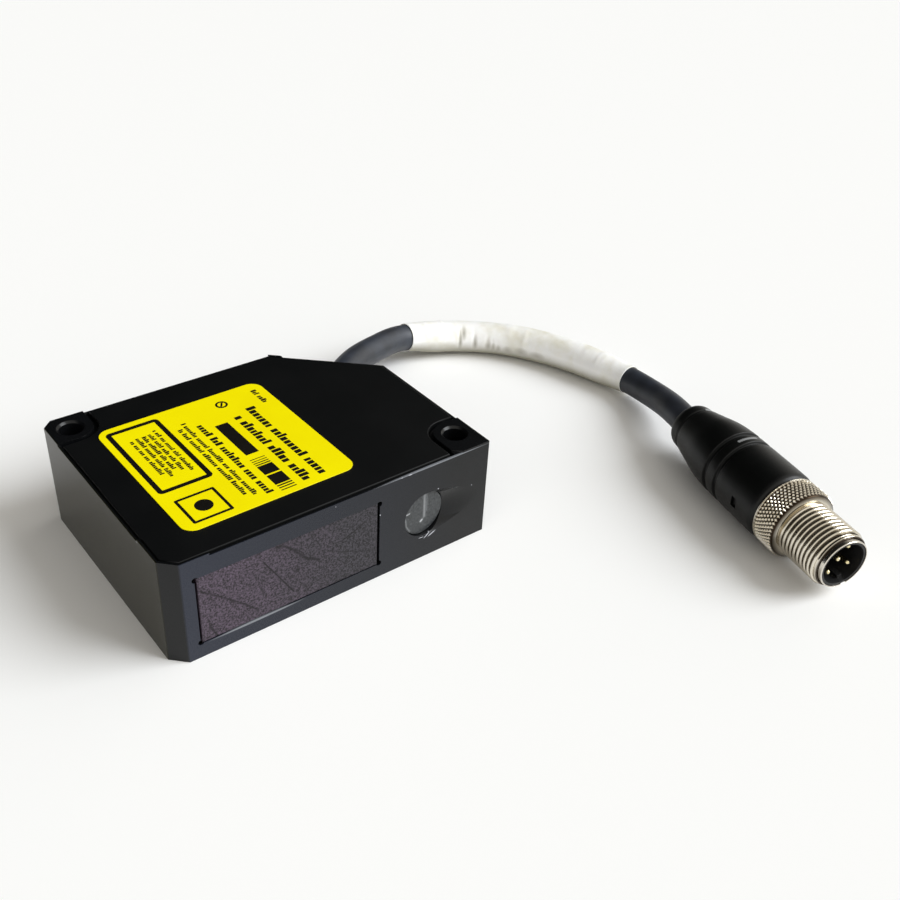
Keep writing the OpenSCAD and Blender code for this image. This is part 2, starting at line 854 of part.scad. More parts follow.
// Route of one conductor from the cable's end up to the header
function wire_route(i) =
    let (k = i - (wire_count - 1) / 2, along = [-edge_out.y, edge_out.x],
        from = gland_pos - (gland_neck_l - wire_in) * cut_out - cut_dir * k * 1.1,
        to = header_pos + edge_out * (header_size.x / 2 + 0.05) + along * k * wire_pitch,
        z1 = board_top + header_size.z / 2)
    [[from.x, from.y, gland_z], [from.x - cut_out.x, from.y - cut_out.y, gland_z],
        [(from.x + to.x) / 2, (from.y + to.y) / 2, (gland_z + z1) / 2 + 1],
        [to.x + edge_out.x, to.y + edge_out.y, z1], [to.x, to.y, z1]];

// Solid tube of radius r along a polyline
module swept_tube(path, r, sides) {
    n = len(path);
    polyhedron(
        points = ring_all(path, r, sides),
        faces = concat([[for (k = [sides - 1:-1:0]) k]],
            tube_sides(n, sides, 0, true),
            [[for (k = [0:sides - 1]) (n - 1) * sides + k]]),
        convexity = 4);
}

// Hollow tube between the radii r0 and r1 along a polyline
module swept_sleeve(path, r0, r1, sides) {
    n = len(path);
    inner = n * sides;
    last = (n - 1) * sides;
    polyhedron(
        points = concat(ring_all(path, r1, sides), ring_all(path, r0, sides)),
        faces = concat(tube_sides(n, sides, 0, true), tube_sides(n, sides, inner, false),
            [for (k = [0:sides - 1]) let (m = (k + 1) % sides) [k, inner + k, inner + m, m]],
            [for (k = [0:sides - 1]) let (m = (k + 1) % sides)
                [last + k, last + m, last + inner + m, last + inner + k]]),
        convexity = 6);
}

module inner_wires() {
    color("#a83a2a")
    for (i = [0:wire_count - 1])
        swept_tube(smooth(wire_route(i), 0, 4, 2), wire_r, wire_sides);
}

// Turned gland whose neck passes through the wall
module cable_gland() {
    r = gland_d / 2;
    bore = cable_r + cord_gap;
    color("#b7b9bb")
    at_gland()
        rotate_extrude()
            polygon([[bore, -gland_neck_l], [gland_neck_r, -gland_neck_l], [gland_neck_r, 0], [r, 0],
                [r, gland_flange_t - 0.5], [r - 0.5, gland_flange_t], [bore, gland_flange_t]]);
}

module gland_nut() {
    color("#b7b9bb")
    at_gland()
        translate([0, 0, -wall_t - nut_t])
            difference() {
                cylinder(r = nut_flats / sqrt(3), h = nut_t, $fn = 6);
                translate([0, 0, -past])
                    cylinder(r = gland_neck_r + seat_gap, h = nut_t + 2 * past);
            }
}

// Soft tapered boot with three bending grooves
module strain_relief() {
    bore = cable_r + cord_gap;
    r0 = cable_r + 1.9;
    r1 = cable_r + 0.9;
    cut = 0.6;
    pitch = relief_boot_l / 4.5;
    taper = (r0 - r1) / relief_boot_l;
    color("#1c1d1f")
    at_gland()
        translate([0, 0, gland_flange_t])
            rotate_extrude()
                polygon(concat([[bore, 0], [r0, 0]],
                    [for (i = [1:3], q = [[-0.35, 0], [-0.35, cut], [0.35, cut], [0.35, 0]])
                        let (z = i * pitch + q[0]) [r0 - taper * z - q[1], z]],
                    [[r1, relief_boot_l - 0.5], [r1 - 0.3, relief_boot_l], [bore, relief_boot_l]]));
}

module cable() {
    color("#45474a")
    swept_tube(smooth(route, 0, len(route) - 1, cord_rings), cable_r, cord_sides);
}

// White sleeve pulled over the cable
module marker_sleeve() {
    color("#ecebe4")
    swept_sleeve(smooth(route, sleeve_from, sleeve_to, cord_rings), cable_r + 0.1, sleeve_d / 2,
        cord_sides);
}

// Frame on the plug: local +Z points forward along its axis, from its rear end
module at_plug() {
    translate([plug_pos.x, plug_pos.y, route[len(route) - 1].z])
        rotate([0, 90, plug_turn])
            children();
}

// Moulded grip: rounded end, cone, two ring grooves and a barrel with a lip
module plug_grip() {
    r = grip_d / 2;
    bore = cable_r + cord_gap;
    shell_r = shell_d / 2 + seat_gap;
    color("#1b1c1d")
    at_plug()
        difference() {
            rotate_extrude()
                polygon([[bore, 0], [4.1, 0], [4.75, 0.35], [5.15, 1.2], [5.3, 2.9], [5.2, 3.1],
                    [5.2, 3.6], [5.5, 3.8], [5.85, 5.4], [6.35, 7.6], [6.85, 9.6],
                    [7.2, 11.6], [7.4, 13.6], [7.5, 15.9], [6.95, 16.1], [6.95, 16.9],
                    [7.5, 17.1], [7.52, 19.3], [7, 19.5], [7, 20.3], [7.52, 20.5],
                    [r - 0.05, 23], [r, grip_l - 5],
                    [r, grip_l - 1.2], [r - 0.2, grip_l - 0.5], [r - 0.6, grip_l],
                    [shell_r, grip_l], [shell_r, grip_l - shell_stem_l - seat_gap],
                    [stem_r + seat_gap, grip_l - shell_stem_l - seat_gap],
                    [stem_r + seat_gap, grip_l - stem_l - seat_gap],
                    [0, grip_l - stem_l - seat_gap], [0, plug_bore_l], [bore, plug_bore_l]]);
            rotate([0, 0, -87])
                translate([r - 0.6, -1.1, grip_l - 6.5])
                    cube([2, 2.2, 1.5]);
        }
}

// Turned metal sleeve: stem in the grip, flange behind the ring, keyed open end
module plug_shell() {
    r = shell_d / 2;
    color("#cfccc2")
    at_plug()
        difference() {
            rotate_extrude()
                polygon([[r - shell_wall, grip_l - shell_stem_l], [r, grip_l - shell_stem_l],
                    [r, grip_l], [flange_r, grip_l], [flange_r, grip_l + flange_l],
                    [r, grip_l + flange_l], [r, shell_end - 0.1], [r - 0.1, shell_end],
                    [r - shell_wall, shell_end]]);
            rotate([0, 0, key_turn])
                translate([r - 2, -key_w / 2, shell_end - 0.9])
                    cube([4, key_w, 2]);
        }
}

// Moulded contact insert: a stem in the grip and a cup round the pins
module contact_insert() {
    r = shell_d / 2 - shell_wall - seat_gap;
    end = shell_end - 0.15;
    cavity = r - cavity_wall;
    floor_z = end - cavity_l;
    color("#151515")
    at_plug()
        difference() {
            union() {
                rotate_extrude()
                    polygon([[0, grip_l - stem_l], [stem_r, grip_l - stem_l],
                        [stem_r, grip_l - shell_stem_l], [r, grip_l - shell_stem_l],
                        [r, end], [cavity, end], [cavity, floor_z], [0, floor_z]]);
                rotate([0, 0, key_turn])
                    translate([cavity - 0.7, -key_w / 2, floor_z - past])
                        cube([0.9, key_w, cavity_l - 0.5]);
            }
            for (at = pin_places())
                translate([at.x, at.y, floor_z - pin_root])
                    cylinder(r = pin_d / 2 + 0.02, h = pin_root + past);
        }
}

function pin_places() = concat([[0, 0]],
    [for (i = [0:pin_count - 1])
        let (a = key_turn + 360 * (i + 0.5) / pin_count) pin_circle_r * [cos(a), sin(a)]]);

// Round contact pins with domed tips
module contact_pins() {
    r = pin_d / 2;
    z0 = shell_end - 0.15 - cavity_l - pin_root;
    l = cavity_l + pin_root - pin_recess;
    color("#d9c27a")
    at_plug()
        for (at = pin_places())
            translate([at.x, at.y, z0])
                rotate_extrude()
                    polygon([[0, 0], [r, 0], [r, l - 0.4], [r * 0.7, l - 0.12], [0, l]]);
}

// Screw ring that turns on the metal sleeve, trapped between its flange and the grip
module coupling_ring() {
    rk = knurl_d / 2;
    rt = thread_d / 2;
    bore = shell_d / 2 + run_gap;
    chamber = flange_r + run_gap;
    chamber_z = grip_l + flange_l + ring_gap;
    color("#c4c0b4")
    at_plug()
        rotate_extrude()
            polygon([[chamber, knurl_z], [rk - 0.3, knurl_z], [rk, knurl_z + 0.3],
                [rk, thread_z - 0.5], [rk - 0.5, thread_z], [rt, thread_z],
                [rt, ring_end - 0.6], [rt - 0.5, ring_end], [bore, ring_end],
                [bore, chamber_z], [chamber, chamber_z]]);
}

housing();
cover();
cover_gasket();
label();
receiver_window();
emitter_window();
optical_bench();
bench_screws();
receiver_lens();
lens_clip();
detector_board();
detector_chip();
link_header();
laser_tube();
collimator_lens();
collimator_ring();
laser_diode();
laser_board();
laser_leads();
main_board();
processor_chips();
capacitors();
wire_header();
board_screws();
inner_wires();
cable_gland();
gland_nut();
strain_relief();
cable();
marker_sleeve();
plug_grip();
plug_shell();
contact_insert();
contact_pins();
coupling_ring();
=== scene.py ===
import math
import random

import bmesh
import bpy
from mathutils import Matrix, Vector


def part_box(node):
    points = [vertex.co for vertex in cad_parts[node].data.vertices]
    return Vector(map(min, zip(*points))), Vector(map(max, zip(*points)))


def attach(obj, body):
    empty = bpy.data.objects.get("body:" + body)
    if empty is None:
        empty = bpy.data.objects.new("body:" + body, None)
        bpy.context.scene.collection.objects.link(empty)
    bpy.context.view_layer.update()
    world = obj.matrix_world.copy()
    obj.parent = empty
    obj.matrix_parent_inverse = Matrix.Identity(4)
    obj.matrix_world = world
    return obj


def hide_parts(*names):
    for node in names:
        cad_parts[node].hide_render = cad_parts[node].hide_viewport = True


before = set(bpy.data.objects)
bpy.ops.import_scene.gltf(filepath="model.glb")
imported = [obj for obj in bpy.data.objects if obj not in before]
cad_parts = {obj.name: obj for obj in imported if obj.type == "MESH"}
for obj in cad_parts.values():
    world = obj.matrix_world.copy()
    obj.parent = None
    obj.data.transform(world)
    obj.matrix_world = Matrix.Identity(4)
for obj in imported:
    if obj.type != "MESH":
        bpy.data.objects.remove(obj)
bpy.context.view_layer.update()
MM = 0.001


# Housing: one block of aluminium, milled to a tray with two mounting lugs, a pocket for the
# receiver's pane and a turned seat for the laser's window. It is bead blasted and anodised black,
# which leaves a fine satin grain; its edges are broken, and pale lines along the front rim and the
# pocket's lower edge are partly wear and partly painted highlight. Its front and left side carry
# painted reflection tints, and bright strokes below the laser window are painted highlights.
def colour(code):
    """Linear colour of an sRGB hex code such as 2a2c2f."""
    parts = [int(code[i:i + 2], 16) / 255 for i in (0, 2, 4)]
    return [c / 12.92 if c <= 0.04045 else ((c + 0.055) / 1.055) ** 2.4 for c in parts] + [1.0]


def feed(tree, node, inputs):
    """Sets each of these inputs of a node, or links it to a socket."""
    for key, value in inputs.items():
        if isinstance(value, bpy.types.NodeSocket):
            tree.links.new(value, node.inputs[key])
        else:
            node.inputs[key].default_value = value


def add(tree, kind, inputs=None, **settings):
    """Adds a node with its settings, and feeds its inputs."""
    node = tree.nodes.new(kind)
    for name, value in settings.items():
        setattr(node, name, value)
    feed(tree, node, inputs or {})
    return node


def finish_named(name, values):
    """A new material whose shader has these constant values, its tree, shader and coordinates."""
    material = bpy.data.materials.new(name)
    material.use_nodes = True
    tree = material.node_tree
    shader = tree.nodes["Principled BSDF"]
    feed(tree, shader, values)
    return material, tree, shader, add(tree, "ShaderNodeTexCoord")


def two_tones(tree, factor, first, second):
    """A colour that goes from the first hex code to the second with the factor."""
    return add(tree, "ShaderNodeMix", {"Factor": factor, "A": colour(first),
        "B": colour(second)}, data_type="RGBA").outputs["Result"]


def grained(name, tones, rough, grain, depth, patch=6 * MM, **values):
    """A finish with two tones in soft patches and a fine grain of the given size and depth."""
    material, tree, shader, place = finish_named(name, values)
    at = place.outputs["Object"]
    patches = add(tree, "ShaderNodeTexNoise", {"Vector": at, "Scale": 1 / patch, "Detail": 3.0})
    fine = add(tree, "ShaderNodeTexNoise", {"Vector": at, "Scale": 1 / grain, "Detail": 2.0})
    spread = add(tree, "ShaderNodeMapRange", {"Value": patches.outputs["Fac"], "From Min": 0.35,
        "From Max": 0.65})
    gloss = add(tree, "ShaderNodeMapRange", {"Value": fine.outputs["Fac"], "From Min": 0.3,
        "From Max": 0.7, "To Min": rough[0], "To Max": rough[1]})
    bump = add(tree, "ShaderNodeBump", {"Height": fine.outputs["Fac"], "Distance": depth,
        "Strength": 0.6})
    feed(tree, shader, {"Base Color": two_tones(tree, spread.outputs["Result"], *tones),
        "Roughness": gloss.outputs["Result"], "Normal": bump.outputs["Normal"]})
    return material


def spots(tree, at, places, sharp=0.6):
    """A factor that is 1 inside soft ovals: centre and half sizes in millimetres, and the turn
    in degrees in the front plane."""
    total = 0.0
    for centre, half, turn in places:
        local = add(tree, "ShaderNodeMapping", {"Vector": at, "Location": Vector(centre) * MM,
            "Rotation": (0, math.radians(turn), 0), "Scale": Vector(half) * MM},
            vector_type="TEXTURE").outputs["Vector"]
        near = add(tree, "ShaderNodeVectorMath", {0: local}, operation="LENGTH").outputs["Value"]
        inside = add(tree, "ShaderNodeMapRange", {"Value": near, "From Min": sharp,
            "From Max": 1.0, "To Min": 1.0, "To Max": 0.0}).outputs["Result"]
        total = add(tree, "ShaderNodeMath", {0: inside, 1: total}, operation="MAXIMUM").outputs[0]
    return total


def over(material, factor, code):
    """Lays a second colour over a finish where the factor is 1."""
    tree = material.node_tree
    shader = tree.nodes["Principled BSDF"]
    under = shader.inputs["Base Color"].links[0].from_socket
    mix = add(tree, "ShaderNodeMix", {"Factor": factor, "A": under, "B": colour(code)},
        data_type="RGBA")
    feed(tree, shader, {"Base Color": mix.outputs["Result"]})


def into_scene(name, data):
    """A new object of this data, in the scene."""
    thing = bpy.data.objects.new(name, data)
    bpy.context.scene.collection.objects.link(thing)
    return thing


def keep(name, mesh, material, nodes, body="sensor"):
    """Puts a finished mesh into the scene as a piece that rides on a body."""
    mesh.name = name
    mesh.materials.clear()
    mesh.materials.append(material)
    piece = into_scene(name, mesh)
    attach(piece, body)
    if nodes:
        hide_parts(*nodes)
    return piece


def made(bm, name):
    """The plain mesh of what was built."""
    mesh = bpy.data.meshes.new(name)
    bm.to_mesh(mesh)
    bm.free()
    return mesh


def eased(node, share):
    """A CAD node's mesh, merged, its flat faces joined, and each sharp edge marked with the
    share of the bevel that share(middle, direction) gives it."""
    bm = bmesh.new()
    bm.from_mesh(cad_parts[node].data)
    bmesh.ops.remove_doubles(bm, verts=bm.verts, dist=1e-6)
    bmesh.ops.dissolve_limit(bm, angle_limit=math.radians(0.5), verts=bm.verts, edges=bm.edges)
    layer = bm.edges.layers.float.new("bevel_weight_edge")
    for face in bm.faces:
        face.smooth = True
    for edge in bm.edges:
        if edge.calc_face_angle(0) > math.radians(28):
            a, b = (v.co for v in edge.verts)
            edge[layer] = share((a + b) / 2, (b - a).normalized())
            edge.smooth = edge[layer] > 0
    return made(bm, node)


def broken_edges(name, node, share, material, width, steps=2):
    """A piece in a CAD node's own shape, its marked edges broken and its shading evened."""
    piece = keep(name, eased(node, share), material, [node])
    bevel = piece.modifiers.new("edges", "BEVEL")
    bevel.limit_method, bevel.width, bevel.segments = "WEIGHT", width, steps
    bevel.miter_outer = "MITER_ARC"
    normals = piece.modifiers.new("normals", "WEIGHTED_NORMAL")
    normals.keep_sharp = True
    return piece


HALF_L, HALF_D, RIM = 32.5 * MM, 25 * MM, 20.4 * MM
# The cut-off corner is the line x + CUT_SLOPE * y = CUT_REACH
CUT_SLOPE, CUT_REACH = 1.106, 42.2 * MM
UNDER_RIM, SKIN = RIM - 1.2 * MM, 0.3 * MM
POCKET_X, POCKET_HALF = -9.85 * MM, 19 * MM


def housing_edge(at, along):
    """Share of the full bevel: most on the outer uprights, less on rim, foot and pockets."""
    outside = max(abs(at.x) - HALF_L, abs(at.y) - HALF_D,
        (at.x + at.y * CUT_SLOPE) - CUT_REACH) > -SKIN
    if outside and (at.z < 0.2 * MM or at.z > UNDER_RIM):
        return 0.5
    if at.z > UNDER_RIM:
        return 0.3
    if outside and abs(along.z) > 0.9 and abs(at.x - POCKET_X) > POCKET_HALF:
        return 0.9
    return 0.3 if at.y < -HALF_D + 1.5 * MM else 0.0


black_anodised = grained("black_anodised_aluminium", ("08090a", "0c0d0f"), (0.24, 0.32),
    0.09 * MM, 0.002 * MM, patch=9 * MM, **{"IOR": 1.5, "Specular IOR Level": 0.3})
tree = black_anodised.node_tree
at = add(tree, "ShaderNodeTexCoord").outputs["Object"]
part = add(tree, "ShaderNodeSeparateXYZ", {"Vector": at})
# Painted reflection: a blue cast on the milled front, most at its left, which also lightens it, and
# a brown one on the left side, for what these faces reflect
front = add(tree, "ShaderNodeMapRange", {"Value": part.outputs["Y"],
    "From Min": -HALF_D + 0.05 * MM, "From Max": -HALF_D + 0.25 * MM, "To Min": 1.0,
    "To Max": 0.0}).outputs["Result"]
leftward = add(tree, "ShaderNodeMapRange", {"Value": part.outputs["X"], "From Min": -34 * MM,
    "From Max": 26 * MM, "To Min": 1.0, "To Max": 0.0}).outputs["Result"]
front_painted_reflection = add(tree, "ShaderNodeMath", {0: front, 1: leftward}, operation="MULTIPLY")
over(black_anodised, front_painted_reflection.outputs[0], "262a36")
# Painted reflection: the brown tint of the left side
left_painted_reflection = add(tree, "ShaderNodeMapRange", {"Value": part.outputs["X"],
    "From Min": -HALF_L + 0.05 * MM, "From Max": -HALF_L + 0.2 * MM, "To Min": 1.0,
    "To Max": 0.0}).outputs["Result"]
over(black_anodised, left_painted_reflection, "1a1908")
# Pale lines along the front rim and the pocket's lower edge: partly edges worn to grey, partly
# painted highlight where these edges catch light
over(black_anodised, spots(tree, at, [((20, -25, 20.36), (14, 0.5, 0.16), 0),
    ((-17, -24.9, 2.75), (10, 0.4, 0.28), 0)]), "777a80")
# Knocks down to bare metal and small specks; the three strokes just below the laser window are
# painted highlights on the seat's lower edge
over(black_anodised, spots(tree, at, [((14.4, -25, 20.3), (0.5, 0.3, 0.12), 0),
    ((12.6, -25, 20.3), (0.2, 0.3, 0.08), 0), ((-32.5, -15.5, 20.3), (0.3, 0.35, 0.12), 0),
    ((8.05, -25, 14.1), (0.14, 0.3, 0.16), 0), ((18.7, -24.9, 4.85), (1.0, 0.5, 0.15), -38),
    ((19.85, -24.9, 4.75), (1.15, 0.6, 0.16), -25), ((17.4, -24.9, 4.8), (0.7, 0.5, 0.08), 4),
    ((20.9, -25, 14.6), (0.14, 0.3, 0.14), 0), ((28.9, -25, 12.2), (0.12, 0.3, 0.1), 0),
    ((28.4, -25, 9.1), (0.1, 0.3, 0.1), 0), ((25.4, -25, 13.0), (0.12, 0.3, 0.1), 0),
    ((25.0, -25, 8.6), (0.1, 0.3, 0.1), 0), ((-1.2, -25, 19.9), (0.1, 0.3, 0.08), 0)]), "b4b6be")
broken_edges("housing_block", "housing", housing_edge, black_anodised,
    0.3 * MM, 3)


# Receiver pane: a dark filter glass that passes only the laser's colour, glued into its
# pocket. Years of use left it matt, mottled and scratched: dark curved strokes, some wide
# and soft, others sharp. Its mottling is drawn coarser than the real one, so that it shows.
(PANE_X0, FACE_Y, PANE_Z0), (PANE_X1, REAR_Y, PANE_Z1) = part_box("receiver_window")
PANE, PANE_Y = (PANE_X0, PANE_X1, PANE_Z0, PANE_Z1), (FACE_Y, REAR_Y)
STROKE_STRENGTH = 1.3
# Scratches: points along and up the front face in millimetres, half width, darkness
SCRATCHES = [
    ([(-27.1, 14.1), (-23.7, 11.3), (-20.2, 8.2), (-16.8, 4.8)], 0.22, 0.55),
    ([(-15.3, 14.4), (-12.8, 10.3), (-9.8, 5.3)], 0.12, 0.9),
    ([(-17.4, 13.4), (-15.9, 9.1), (-15.1, 6.7)], 0.14, 0.35),
    ([(-12.9, 16.5), (-11.3, 16.0), (-9.4, 14.2), (-7.1, 11.4), (-4.7, 10.0)], 0.3, 0.6),
    ([(-0.1, 11.9), (2.9, 13.0), (4.8, 14.0)], 0.1, 0.85),
    ([(-3.0, 11.0), (-2.2, 10.8), (0.3, 9.4), (5.9, 7.0)], 0.12, 0.4),
    ([(-25.6, 5.6), (-24.5, 3.0)], 0.2, 0.6),
    ([(-25.9, 7.1), (-25.3, 5.4)], 0.18, 0.45),
    ([(-9.1, 9.8), (-8.8, 9.7)], 0.35, 0.6),
    ([(-9.2, 5.3), (-8.9, 5.1)], 0.25, 0.5)]


def from_line(x, z, points):
    """Distance from a place on the front face to a line of points, in millimetres."""
    best = 1e9
    for (ax, az), (bx, bz) in zip(points, points[1:]):
        dx, dz = bx - ax, bz - az
        t = max(0.0, min(1.0, ((x - ax) * dx + (z - az) * dz) / (dx * dx + dz * dz)))
        best = min(best, math.hypot(x - ax - t * dx, z - az - t * dz))
    return best


def panel(bounds, depth, counts, ease):
    """A flat plate whose front is a fine grid with an eased edge, standing in the XZ plane."""
    x0, x1, z0, z1 = bounds
    bm = bmesh.new()
    rows = []
    for j in range(counts[1] + 1):
        row = []
        for i in range(counts[0] + 1):
            x, z = x0 + (x1 - x0) * i / counts[0], z0 + (z1 - z0) * j / counts[1]
            rim = i in (0, counts[0]) or j in (0, counts[1])
            row.append(bm.verts.new((x, depth[0] + (ease if rim else 0), z)))
        rows.append(row)
    for low, high in zip(rows, rows[1:]):
        for i in range(counts[0]):
            bm.faces.new((low[i], low[i + 1], high[i + 1], high[i])).smooth = True
    loop = rows[0] + [r[-1] for r in rows[1:]] + rows[-1][-2::-1] + [r[0] for r in rows[-2:0:-1]]
    back = [bm.verts.new((v.co.x, depth[1], v.co.z)) for v in loop]
    for k in range(len(loop)):
        m = (k + 1) % len(loop)
        bm.faces.new((loop[m], loop[k], back[k], back[m]))
    bm.faces.new(back)
    bmesh.ops.recalc_face_normals(bm, faces=bm.faces)
    return bm


pane_bm = panel(PANE, PANE_Y, (280, 110), 0.1 * MM)
stroke = pane_bm.verts.layers.float.new("scratch")
for vert in pane_bm.verts:
    if vert.co.y < PANE_Y[0] + 0.1 * MM:
        x, z = vert.co.x / MM, vert.co.z / MM
        for points, half, dark in SCRATCHES:
            near = from_line(x, z, points) / half
            depth = min(STROKE_STRENGTH * dark * math.exp(-near * near), 1)
            vert[stroke] = max(vert[stroke], depth)

filter_glass, tree, shader, place = finish_named("filter_glass_matt", {"IOR": 1.52,
    "Specular IOR Level": 0.25})
at = place.outputs["Object"]
blotch = add(tree, "ShaderNodeTexNoise", {"Vector": at, "Scale": 1 / (0.34 * MM), "Detail": 4.0,
    "Roughness": 0.7})
cloud = add(tree, "ShaderNodeTexNoise", {"Vector": at, "Scale": 1 / (5 * MM), "Detail": 2.0})
hazy = add(tree, "ShaderNodeMapRange", {"Value": blotch.outputs["Fac"], "From Min": 0.4,
    "From Max": 0.62})
# Lighter and violet towards the left, darker towards the right, drifting with a soft cloud
across = add(tree, "ShaderNodeSeparateXYZ", {"Vector": at}).outputs["X"]
drift = add(tree, "ShaderNodeMath", {0: cloud.outputs["Fac"], 1: 16 * MM, 2: across},
    operation="MULTIPLY_ADD").outputs[0]
violet = add(tree, "ShaderNodeMapRange", {"Value": drift, "From Min": -12 * MM,
    "From Max": 9 * MM})
toned = add(tree, "ShaderNodeMix", {"Factor": violet.outputs["Result"],
    "A": two_tones(tree, hazy.outputs["Result"], "1a161a", "5b4f5e"),
    "B": two_tones(tree, hazy.outputs["Result"], "0f0e10", "434047")}, data_type="RGBA")
mark = add(tree, "ShaderNodeAttribute", attribute_name="scratch")
worn = add(tree, "ShaderNodeMix", {"Factor": mark.outputs["Fac"], "A": toned.outputs["Result"],
    "B": colour("040304")}, data_type="RGBA")
matt = add(tree, "ShaderNodeMapRange", {"Value": blotch.outputs["Fac"], "From Min": 0.3,
    "From Max": 0.7, "To Min": 0.42, "To Max": 0.62})
pits = add(tree, "ShaderNodeBump", {"Height": blotch.outputs["Fac"], "Distance": 0.02 * MM,
    "Strength": 0.6})
feed(tree, shader, {"Base Color": worn.outputs["Result"], "Roughness": matt.outputs["Result"],
    "Normal": pits.outputs["Normal"]})
keep("receiver_pane", made(pane_bm, "pane"), filter_glass,
    ["receiver_window"])


# Laser window: a round glass let into its turned seat. Dust lies on it, and painted highlights
# stand for the edge of the beam's first optic catching light behind it: an upright bright line with
# a hook, and faint lines near its rim.
EYE, EYE_R, EYE_T = Vector((18.2 * MM, -24.2077 * MM, 9.9 * MM)), 4.65 * MM, 1.2 * MM
EYE_TURN, EYE_EASE = Matrix.Rotation(math.radians(5.4), 3, "Z"), 0.07 * MM
# Painted highlights on the glass: line of points, half width and brightness
GLINTS = [([(0.28, 4.1), (0.34, -1.1)], 0.28, 0.3), ([(0.8, 3.6), (0.8, 0.2)], 0.3, 0.1),
    ([(-0.5, -1.85), (-0.2, -1.65)], 0.2, 0.9), ([(0.25, -1.15), (-0.1, -1.6)], 0.15, 0.2),
    ([(-4.3, 1.2), (-3.3, 1.2)], 0.12, 0.7), ([(-4.3, 0.3), (-4.0, -1.5), (-3.2, -2.9)], 0.14, 0.2),
    ([(-4.1, 1.6), (-3.2, 3.0), (-2.0, 3.9)], 0.12, 0.14)]
bm = bmesh.new()
glint = bm.verts.layers.float.new("glint")
RINGS, SIDES = 56, 128
loops = []
for i in range(1, RINGS + 1):
    r = EYE_R * i / RINGS
    y = EYE_EASE if i == RINGS else 0
    loops.append([bm.verts.new((r * math.cos(2 * math.pi * k / SIDES), y,
        r * math.sin(2 * math.pi * k / SIDES))) for k in range(SIDES)])
loops.append([bm.verts.new((v.co.x, EYE_T, v.co.z)) for v in loops[-1]])
centre = bm.verts.new((0, 0, 0))
for k in range(SIDES):
    m = (k + 1) % SIDES
    bm.faces.new((centre, loops[0][k], loops[0][m])).smooth = True
    for low, high in zip(loops, loops[1:]):
        bm.faces.new((low[k], high[k], high[m], low[m])).smooth = high is not loops[-1]
bm.faces.new(loops[-1])
bmesh.ops.recalc_face_normals(bm, faces=bm.faces)
for vert in bm.verts:
    for points, half, bright in GLINTS if vert.co.y < EYE_EASE / 2 else []:
        near = from_line(vert.co.x / MM, vert.co.z / MM, points) / half
        vert[glint] = max(vert[glint], bright * math.exp(-near * near))
    vert.co = EYE + EYE_TURN @ vert.co
eye_mesh = made(bm, "eye")

dusty_glass, tree, shader, place = finish_named("dusty_coated_glass", {"IOR": 1.52,
    "Specular IOR Level": 0.25, "Coat Weight": 0.15, "Coat Roughness": 0.08})
at = place.outputs["Object"]
dust = add(tree, "ShaderNodeTexNoise", {"Vector": at, "Scale": 1 / (0.4 * MM), "Detail": 4.0})
dusty = add(tree, "ShaderNodeMapRange", {"Value": dust.outputs["Fac"], "From Min": 0.35,
    "From Max": 0.7})
mark = add(tree, "ShaderNodeAttribute", attribute_name="glint")
lit = add(tree, "ShaderNodeMix", {"Factor": mark.outputs["Fac"],
    "A": two_tones(tree, dusty.outputs["Result"], "26282a", "45484a"), "B": colour("c4c7cb")},
    data_type="RGBA")
matt = add(tree, "ShaderNodeMapRange", {"Value": dust.outputs["Fac"], "To Min": 0.25,
    "To Max": 0.5})
feed(tree, shader, {"Base Color": lit.outputs["Result"], "Roughness": matt.outputs["Result"]})
keep("laser_window", eye_mesh, dusty_glass, ["emitter_window"])


# Optics and electronics: a cast carrier with the laser's turned brass tube, the receiver's
# lens and the line detector, on three screws, under a glass fibre board on four. Nothing of
# them shows from outside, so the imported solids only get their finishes.
def dressed(material, slot, *nodes):
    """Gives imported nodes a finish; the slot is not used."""
    for node in nodes:
        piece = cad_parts[node]
        piece.data.materials.clear()
        piece.data.materials.append(material)


METAL, MOULDED = {"Metallic": 1.0}, {"IOR": 1.5}
# Finish, tones, roughness, grain and its depth in millimetres, shader values, slot, nodes
INSIDE = [
    ("die_cast_zinc", ("8a8d8f", "9a9c9e"), (0.35, 0.5), 0.2, 0.01, METAL, "cast_metal",
        ["optical_bench"]),
    ("zinc_plated_steel", ("b4b7ba", "c6c8ca"), (0.22, 0.32), 0.15, 0.003, METAL, "steel",
        ["bench_screws", "board_screws", "lens_clip", "laser_leads"]),
    ("coated_lens_glass", ("a9cfd6", "bfe3ea"), (0.02, 0.05), 1, 0.0001, {"IOR": 1.52},
        "lens_glass", ["receiver_lens", "collimator_lens"]),
    ("green_solder_mask", ("17482f", "1f5a3a"), (0.3, 0.4), 0.3, 0.004, MOULDED, "board_green",
        ["detector_board", "laser_board", "main_board"]),
    ("black_moulded_epoxy", ("1d1d20", "2b2b30"), (0.45, 0.6), 0.1, 0.004, MOULDED,
        "chip_black", ["detector_chip", "processor_chips", "link_header"]),
    ("turned_brass", ("a08048", "b8985a"), (0.25, 0.35), 0.1, 0.002, METAL, "tube_brass",
        ["laser_tube", "laser_diode"]),
    ("black_anodised_ring", ("1a1a1a", "2a2a2a"), (0.4, 0.5), 0.1, 0.003, MOULDED,
        "black_ring", ["collimator_ring"]),
    ("tan_moulded_capacitor", ("a87c28", "b98a2e"), (0.4, 0.5), 0.2, 0.004, MOULDED,
        "capacitor_tan", ["capacitors"]),
    ("white_nylon", ("dcd8ce", "e8e4da"), (0.45, 0.55), 0.2, 0.004, MOULDED, "header_white",
        ["wire_header"]),
    ("red_wire_insulation", ("962f22", "a83a2a"), (0.35, 0.45), 0.3, 0.003, MOULDED,
        "wire_red", ["inner_wires"])]
for name, tones, rough, grain, depth, values, slot, nodes in INSIDE:
    dressed(grained(name, tones, rough, grain * MM, depth * MM, **values), slot, *nodes)


